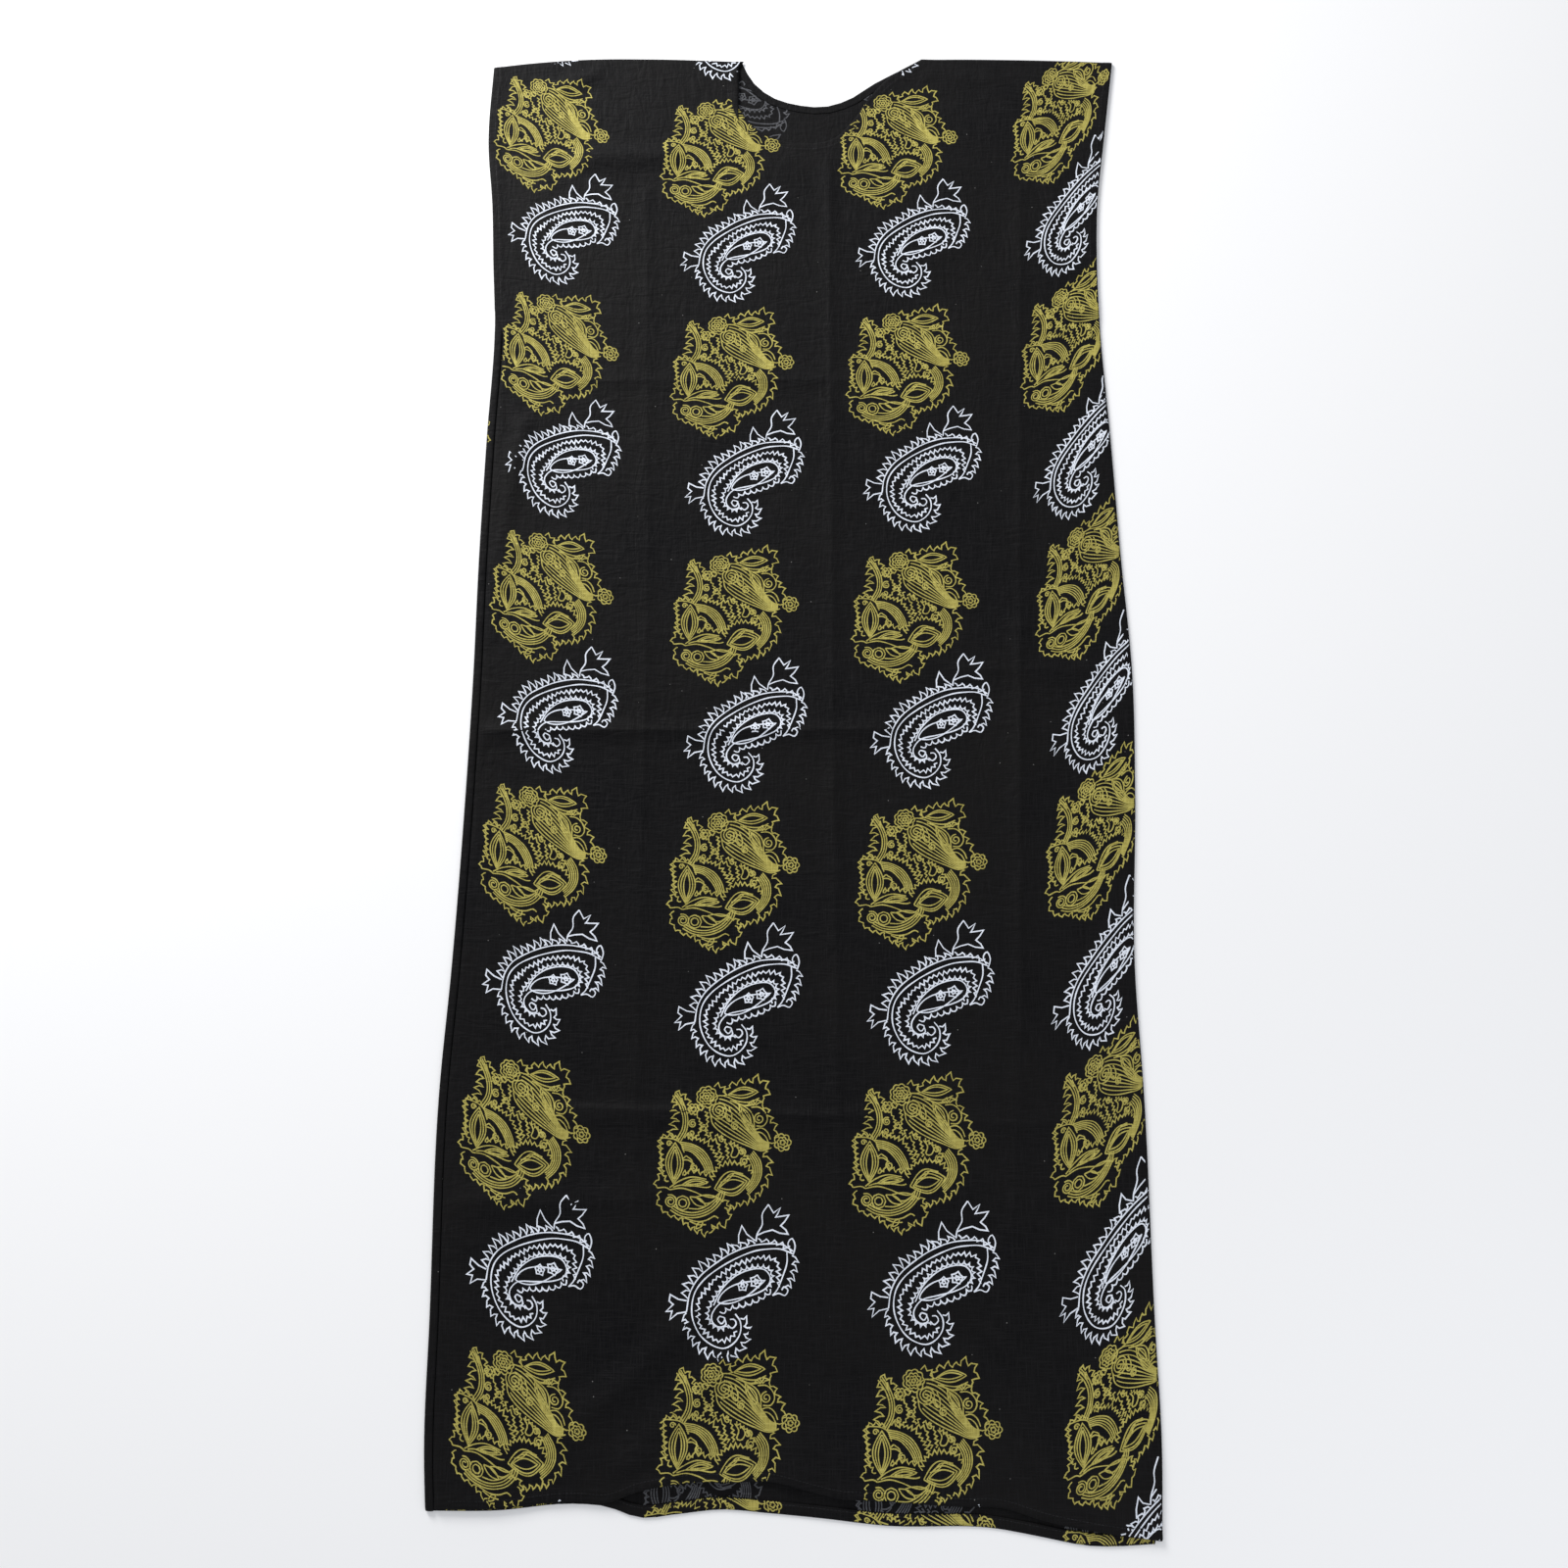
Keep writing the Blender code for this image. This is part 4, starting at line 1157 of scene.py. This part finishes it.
def slub_cloth_group():
    """Plain weave with uneven slub threads both ways: height for bump, and how pale the threads are."""
    tree, _, out = group("slub_weave", (("Height", "NodeSocketFloat"), ("Threads", "NodeSocketFloat")))
    where = node(tree, "ShaderNodeTexCoord").outputs["Object"]
    sets = []
    for stretch in ((45, 900, 45), (900, 45, 45)):
        mapped = node(tree, "ShaderNodeMapping", {"Vector": where, "Scale": stretch}).outputs[0]
        noise = node(tree, "ShaderNodeTexNoise", {"Vector": mapped, "Scale": 1.0, "Detail": 3.0})
        sets.append(noise.outputs[0])
    waves = []
    settings = {"Vector": where, "Scale": 330.0, "Distortion": 1.5, "Detail": 1.0, "Detail Scale": 2.0}
    for way in ("X", "Y"):
        waves.append(node(tree, "ShaderNodeTexWave", settings, bands_direction=way).outputs["Fac"])
    threads = maths(tree, "MAXIMUM", sets[0], sets[1])
    weave = maths(tree, "MULTIPLY", waves[0], waves[1])
    height = maths(tree, "MULTIPLY_ADD", threads, 0.7, maths(tree, "MULTIPLY", weave, 0.3))
    tree.links.new(height, out.inputs["Height"])
    tree.links.new(threads, out.inputs["Threads"])
    return tree


def crinkle_group():
    """Small soft wrinkles, too fine for the mesh, and broad clouds of wear."""
    tree, _, out = group("crinkle", (("Height", "NodeSocketFloat"), ("Clouds", "NodeSocketFloat"),
                                     ("Lint", "NodeSocketFloat")))
    where = node(tree, "ShaderNodeTexCoord").outputs["Object"]
    total = None
    wrinkles = (((26, 90, 1), 0.0, 0.5), ((80, 22, 1), 0.3, 0.5), ((160, 120, 1), 0.8, 0.22))
    for stretch, turn, strength in wrinkles:
        placing = {"Vector": where, "Scale": stretch, "Rotation": (0.0, 0.0, turn)}
        mapped = node(tree, "ShaderNodeMapping", placing).outputs[0]
        settings = {"Vector": mapped, "Scale": 1.0, "Detail": 2.5, "Distortion": 0.6}
        noise = node(tree, "ShaderNodeTexNoise", settings).outputs[0]
        ridge = maths(tree, "ABSOLUTE", maths(tree, "SUBTRACT", noise, 0.5))
        part = maths(tree, "MULTIPLY", ridge, strength)
        total = part if total is None else maths(tree, "ADD", total, part)
    clouds = node(tree, "ShaderNodeTexNoise", {"Vector": where, "Scale": 7.0, "Detail": 4.0}).outputs[0]
    spots = node(tree, "ShaderNodeTexVoronoi", {"Vector": where, "Scale": 55.0}).outputs["Distance"]
    small = {"Value": spots, "From Min": 0.018, "From Max": 0.034, "To Min": 1.0, "To Max": 0.0}
    lint = node(tree, "ShaderNodeMapRange", small).outputs[0]
    tree.links.new(total, out.inputs["Height"])
    tree.links.new(clouds, out.inputs["Clouds"])
    tree.links.new(lint, out.inputs["Lint"])
    return tree


WEAVE, CRINKLE = slub_cloth_group(), crinkle_group()
WORN = (0.02, 0.018, 0.015, 1.0)
LINT = (0.35, 0.34, 0.33, 1.0)


def mapped_range(tree, value, **limits):
    """A value brought from one range to another, with each limit given by its socket's name."""
    inputs = {socket.replace("_", " ").title(): number for socket, number in limits.items()}
    return node(tree, "ShaderNodeMapRange", {"Value": value, **inputs}).outputs[0]


def blended(tree, share, first, second):
    """Two colours blended by a share."""
    mix = node(tree, "ShaderNodeMix", {"Factor": share, "A": first, "B": second}, data_type="RGBA")
    return mix.outputs["Result"]


def fabric(name, dark, pale, roughness, sheen=0.0, wear=0.0, worn=WORN, lint=0.0):
    """A cotton surface in one colour that varies with its threads, its wear and its lint."""
    material = bpy.data.materials.new(name)
    material.use_nodes = True
    tree = material.node_tree
    shader = tree.nodes["Principled BSDF"]
    weave = node(tree, "ShaderNodeGroup", node_tree=WEAVE)
    crinkle = node(tree, "ShaderNodeGroup", node_tree=CRINKLE)
    threads = mapped_range(tree, weave.outputs["Threads"], from_min=0.42, from_max=0.72)
    colour = blended(tree, threads, dark, pale)
    cloud = mapped_range(tree, crinkle.outputs["Clouds"], from_min=0.35, from_max=0.75, to_max=wear)
    patchy = maths(tree, "MULTIPLY", cloud, maths(tree, "SUBTRACT", 1.35, threads))
    colour = blended(tree, patchy, colour, worn)
    specks = maths(tree, "MULTIPLY", crinkle.outputs["Lint"], lint)
    colour = blended(tree, specks, colour, LINT)
    tree.links.new(colour, shader.inputs["Base Color"])
    rough = mapped_range(tree, threads, to_min=roughness, to_max=roughness - 0.08)
    tree.links.new(rough, shader.inputs["Roughness"])
    shader.inputs["Specular IOR Level"].default_value = 0.08
    shader.inputs["Sheen Weight"].default_value = sheen
    shader.inputs["Sheen Roughness"].default_value = 0.45
    shader.inputs["Sheen Tint"].default_value = (0.85, 0.9, 1.0, 1.0)
    height = crinkle.outputs["Height"]
    soft = node(tree, "ShaderNodeBump", {"Height": height, "Strength": 0.8, "Distance": 0.0040})
    height = weave.outputs["Height"]
    fine = node(tree, "ShaderNodeBump", {"Height": height, "Strength": 0.5, "Distance": 0.00025,
                                         "Normal": soft.outputs[0]})
    tree.links.new(fine.outputs[0], shader.inputs["Normal"])
    return material


def finish_piece(piece, material, slot):
    """Gives a piece its material and its body. The slot is not used."""
    piece.data.materials.append(material)
    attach(piece, "root")


# The dress

black = fabric("black_cotton", dark=(0.0016, 0.0016, 0.0021, 1.0), pale=(0.0068, 0.0065, 0.0072, 1.0),
               roughness=0.72, sheen=0.015, wear=0.5, worn=(0.0075, 0.0068, 0.0062, 1.0), lint=0.5)
gold = fabric("gold_print", dark=(0.31, 0.265, 0.060, 1.0), pale=(0.48, 0.43, 0.12, 1.0),
              roughness=0.62, wear=0.35, worn=(0.19, 0.16, 0.045, 1.0))
white = fabric("white_print", dark=(0.62, 0.66, 0.74, 1.0), pale=(0.80, 0.84, 0.92, 1.0),
               roughness=0.75, wear=0.25, worn=(0.42, 0.45, 0.52, 1.0))
faint = fabric("print_show_through", dark=(0.060, 0.062, 0.070, 1.0), pale=(0.120, 0.123, 0.132, 1.0),
               roughness=0.9, wear=0.4)
thread = fabric("sewing_thread", dark=(0.010, 0.010, 0.011, 1.0), pale=(0.025, 0.025, 0.027, 1.0),
                roughness=0.55, sheen=0.05)

front_grid, front_points = front_panel()
front, front_face, _ = cloth("front_cloth", front_points, 1)
finish_piece(front, black, "black_cotton")
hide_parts("front_panel")

back_grid, back_points = back_panel()
back, back_face, back_inside = cloth("back_cloth", back_points, -1)
finish_piece(back, black, "black_cotton")
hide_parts("back_panel", "back_hem_turnup")


def runs_on(lines, places, inside, carry=None):
    """Every part of every motif's lines that lies inside, carried round an edge of the cloth if asked."""
    runs = []
    for place in places:
        for line in lines:
            plan = lay_motif(line, place)
            if carry is not None:
                plan = carry(plan)
            runs += clipped(plan, inside)
    return runs


def over_fold(plan):
    """Carries the print over the shoulder fold and down the back."""
    return np.column_stack((plan[:, 0], 2 * fold_line(plan[:, 0]) - plan[:, 1]))


def round_left_edge(plan):
    """Carries the back's print round the left edge, on to the strip of the back that shows there."""
    x, y = over_fold(plan).T
    return np.column_stack((2 * left_edge(y) - x, y))


def round_back_hem(plan):
    """Carries the back's print round its hem and on to the turned-up cloth."""
    x, y = over_fold(plan).T
    return np.column_stack((x, 2 * through(BACK_HEM["x"], BACK_HEM["y"], x) - y))


def coarser(lines):
    """The same lines with half the points where they run smoothly."""
    return [line[::2] if len(line) > 9 and np.hypot(*np.diff(line, axis=0).T).mean() < 2.6 else line
            for line in lines]


def further_down(places, turns):
    """The motifs that follow a column's last one over the fold, a repeat apart."""
    tops = {}
    for x, y in places:
        column = round(x / 195)
        if column not in tops or y > tops[column][1]:
            tops[column] = (x, y)
    return [(x, y + REPEAT * turn) for x, y in tops.values() for turn in turns]


gold_ink, white_ink = (clump(), 0.00058), (paisley(), 0.00062)
gold_under, white_under = ((coarser(lines), half_width) for lines, half_width in (gold_ink, white_ink))
back_gold, back_white = further_down(GOLD_PLACES, range(7)), further_down(WHITE_PLACES, range(7))
left_gold, right_gold = GOLD_PLACES[:12], GOLD_PLACES[12:]
front_top, back_top = (front_face, True), (back_face, True)
back_bottom, back_wrong_side = (back_face, False), (back_inside, True)

print_sets = (
    # name, seed, lines and half width, places, where it may lie, way round an edge, surface and side, finish
    ("gold_print_left", 0, gold_ink, left_gold, on_front, None, front_top, "gold"),
    ("gold_print_right", 1, gold_ink, right_gold, on_front, None, front_top, "gold"),
    ("white_print", 2, white_ink, WHITE_PLACES, on_front, None, front_top, "white"),
    ("gold_print_edge_strip", 3, gold_ink, back_gold, in_strip, round_left_edge, back_top, "gold"),
    ("gold_print_turnup", 4, gold_ink, back_gold, on_turnup, round_back_hem, back_top, "gold"),
    ("gold_print_inside", 6, gold_ink, back_gold, on_inside, over_fold, back_wrong_side, "faint"),
    ("white_print_inside", 7, white_ink, back_white, on_inside, over_fold, back_wrong_side, "faint"),
    ("gold_print_back", 8, gold_under, back_gold, on_back, over_fold, back_bottom, "gold"),
    ("white_print_back", 9, white_under, back_white, on_back, over_fold, back_bottom, "white"),
)
finishes = {"gold": (gold, "gold_print"), "white": (white, "white_print"), "faint": (faint, "white_print")}
with_front, with_back = [], []
for name, seed, (lines, half_width), places, inside, carry, (surface, from_above), finish in print_sets:
    runs = runs_on(lines, places, inside, carry)
    piece = ink(name, runs, surface, half_width, from_above, seed)
    finish_piece(piece, *finishes[finish])
    (with_front if surface is front_face else with_back).append(piece)


def stitch_runs(path, pitch=0.0036, length=0.0025):
    """Short runs along a path, one for each stitch."""
    plan = path[:, :2]
    lengths = np.concatenate(([0], np.cumsum(np.hypot(*np.diff(plan, axis=0).T))))
    runs = []
    for start in np.arange(0.002, lengths[-1] - length, pitch):
        at = np.linspace(start, start + length, 3)
        runs.append(np.column_stack([np.interp(at, lengths, plan[:, axis]) for axis in (0, 1)]))
    return runs


STITCH_RING = 2          # the ring that follows the line of stitches
top_row = front_grid.rows - front_grid.ring_head + STITCH_RING
low_row = front_grid.ring_foot - 1 - STITCH_RING
left_column = front_grid.ring_left - 1 - STITCH_RING
right_column = front_grid.columns - front_grid.ring_right + STITCH_RING
armhole = front_grid.y[:, 0] > ARMHOLE_FOOT
front_paths = (
    front_points[top_row, front_grid.neck_from:front_grid.neck_to + 1],
    front_points[low_row, front_grid.ring_left:-front_grid.ring_right],
    front_points[armhole, left_column],
    front_points[armhole, right_column],
)
hem_columns = slice(back_grid.ring_left, -back_grid.ring_right)
turnup_path = back_points[2, hem_columns]
under_path = back_points[back_grid.ring_foot - 2, hem_columns]
stitch_sets = (
    ("front_hem_stitches", front_paths, front_face, True, with_front),
    ("back_turnup_stitches", (turnup_path,), back_face, True, with_back),
    ("back_hem_stitches", (under_path,), back_face, False, with_back),
)
for seed, (name, paths, surface, above, company) in enumerate(stitch_sets):
    runs = [run for path in paths for run in stitch_runs(path)]
    piece = ink(name, runs, surface, STITCH_HALF, above, seed)
    finish_piece(piece, thread, "sewing_thread")
    company.append(piece)

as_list(with_front)
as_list(with_back)


# Floor, light and camera

def floor():
    """A plain pale floor, well past the picture's edges."""
    mesh = bpy.data.meshes.new("floor")
    reach = 6.0
    mesh.from_pydata([(-reach, -reach, 0), (reach, -reach, 0), (reach, reach, 0), (-reach, reach, 0)], [],
                     [(0, 1, 2, 3)])
    plane = bpy.data.objects.new("floor", mesh)
    bpy.context.scene.collection.objects.link(plane)
    material = bpy.data.materials.new("floor")
    material.use_nodes = True
    tree = material.node_tree
    shader = tree.nodes["Principled BSDF"]
    shader.inputs["Base Color"].default_value = (0.86, 0.86, 0.87, 1.0)
    shader.inputs["Roughness"].default_value = 0.35
    mesh.materials.append(material)


def lamp(name, place, size, power, colour):
    """A square soft lamp that faces the middle of the dress."""
    light = bpy.data.lights.new(name, "AREA")
    light.shape = "SQUARE"
    light.size = size
    light.energy = power
    light.color = colour
    body = bpy.data.objects.new(name, light)
    body.location = place
    body.rotation_euler = (-Vector(place)).to_track_quat("-Z", "Y").to_euler()
    bpy.context.scene.collection.objects.link(body)


def camera():
    """The photograph's viewpoint: above the dress and a little below its middle."""
    tilt, roll, turn = 0.1957, -0.0273, 0.0251
    place = (-0.0086, -0.3560, 1.4955)
    right = np.array((1.0, 0.0, 0.0))
    up = np.array((0.0, cos(tilt), sin(tilt)))
    back = np.array((0.0, -sin(tilt), cos(tilt)))
    right, up = cos(roll) * right + sin(roll) * up, -sin(roll) * right + cos(roll) * up
    about_z = np.array(((cos(turn), -sin(turn), 0), (sin(turn), cos(turn), 0), (0, 0, 1)))
    axes = about_z @ np.column_stack((right, up, back))
    lens = bpy.data.cameras.new("camera")
    lens.lens, lens.sensor_width = 33.75, 36
    eye = bpy.data.objects.new("camera", lens)
    eye.matrix_world = Matrix.Translation(place) @ Matrix(axes.tolist()).to_4x4()
    bpy.context.scene.collection.objects.link(eye)
    bpy.context.scene.camera = eye


floor()
lamp("key", place=(-1.5, 2.1, 1.25), size=1.1, power=95, colour=(1.0, 0.99, 0.97))
lamp("fill", place=(1.6, -1.6, 1.9), size=2.2, power=16, colour=(0.95, 0.97, 1.0))
world = bpy.data.worlds.new("studio")
world.use_nodes = True
world.node_tree.nodes["Background"].inputs["Color"].default_value = (0.95, 0.97, 1.0, 1.0)
world.node_tree.nodes["Background"].inputs["Strength"].default_value = 0.60
bpy.context.scene.world = world
bpy.context.scene.view_settings.view_transform = "Standard"
camera()
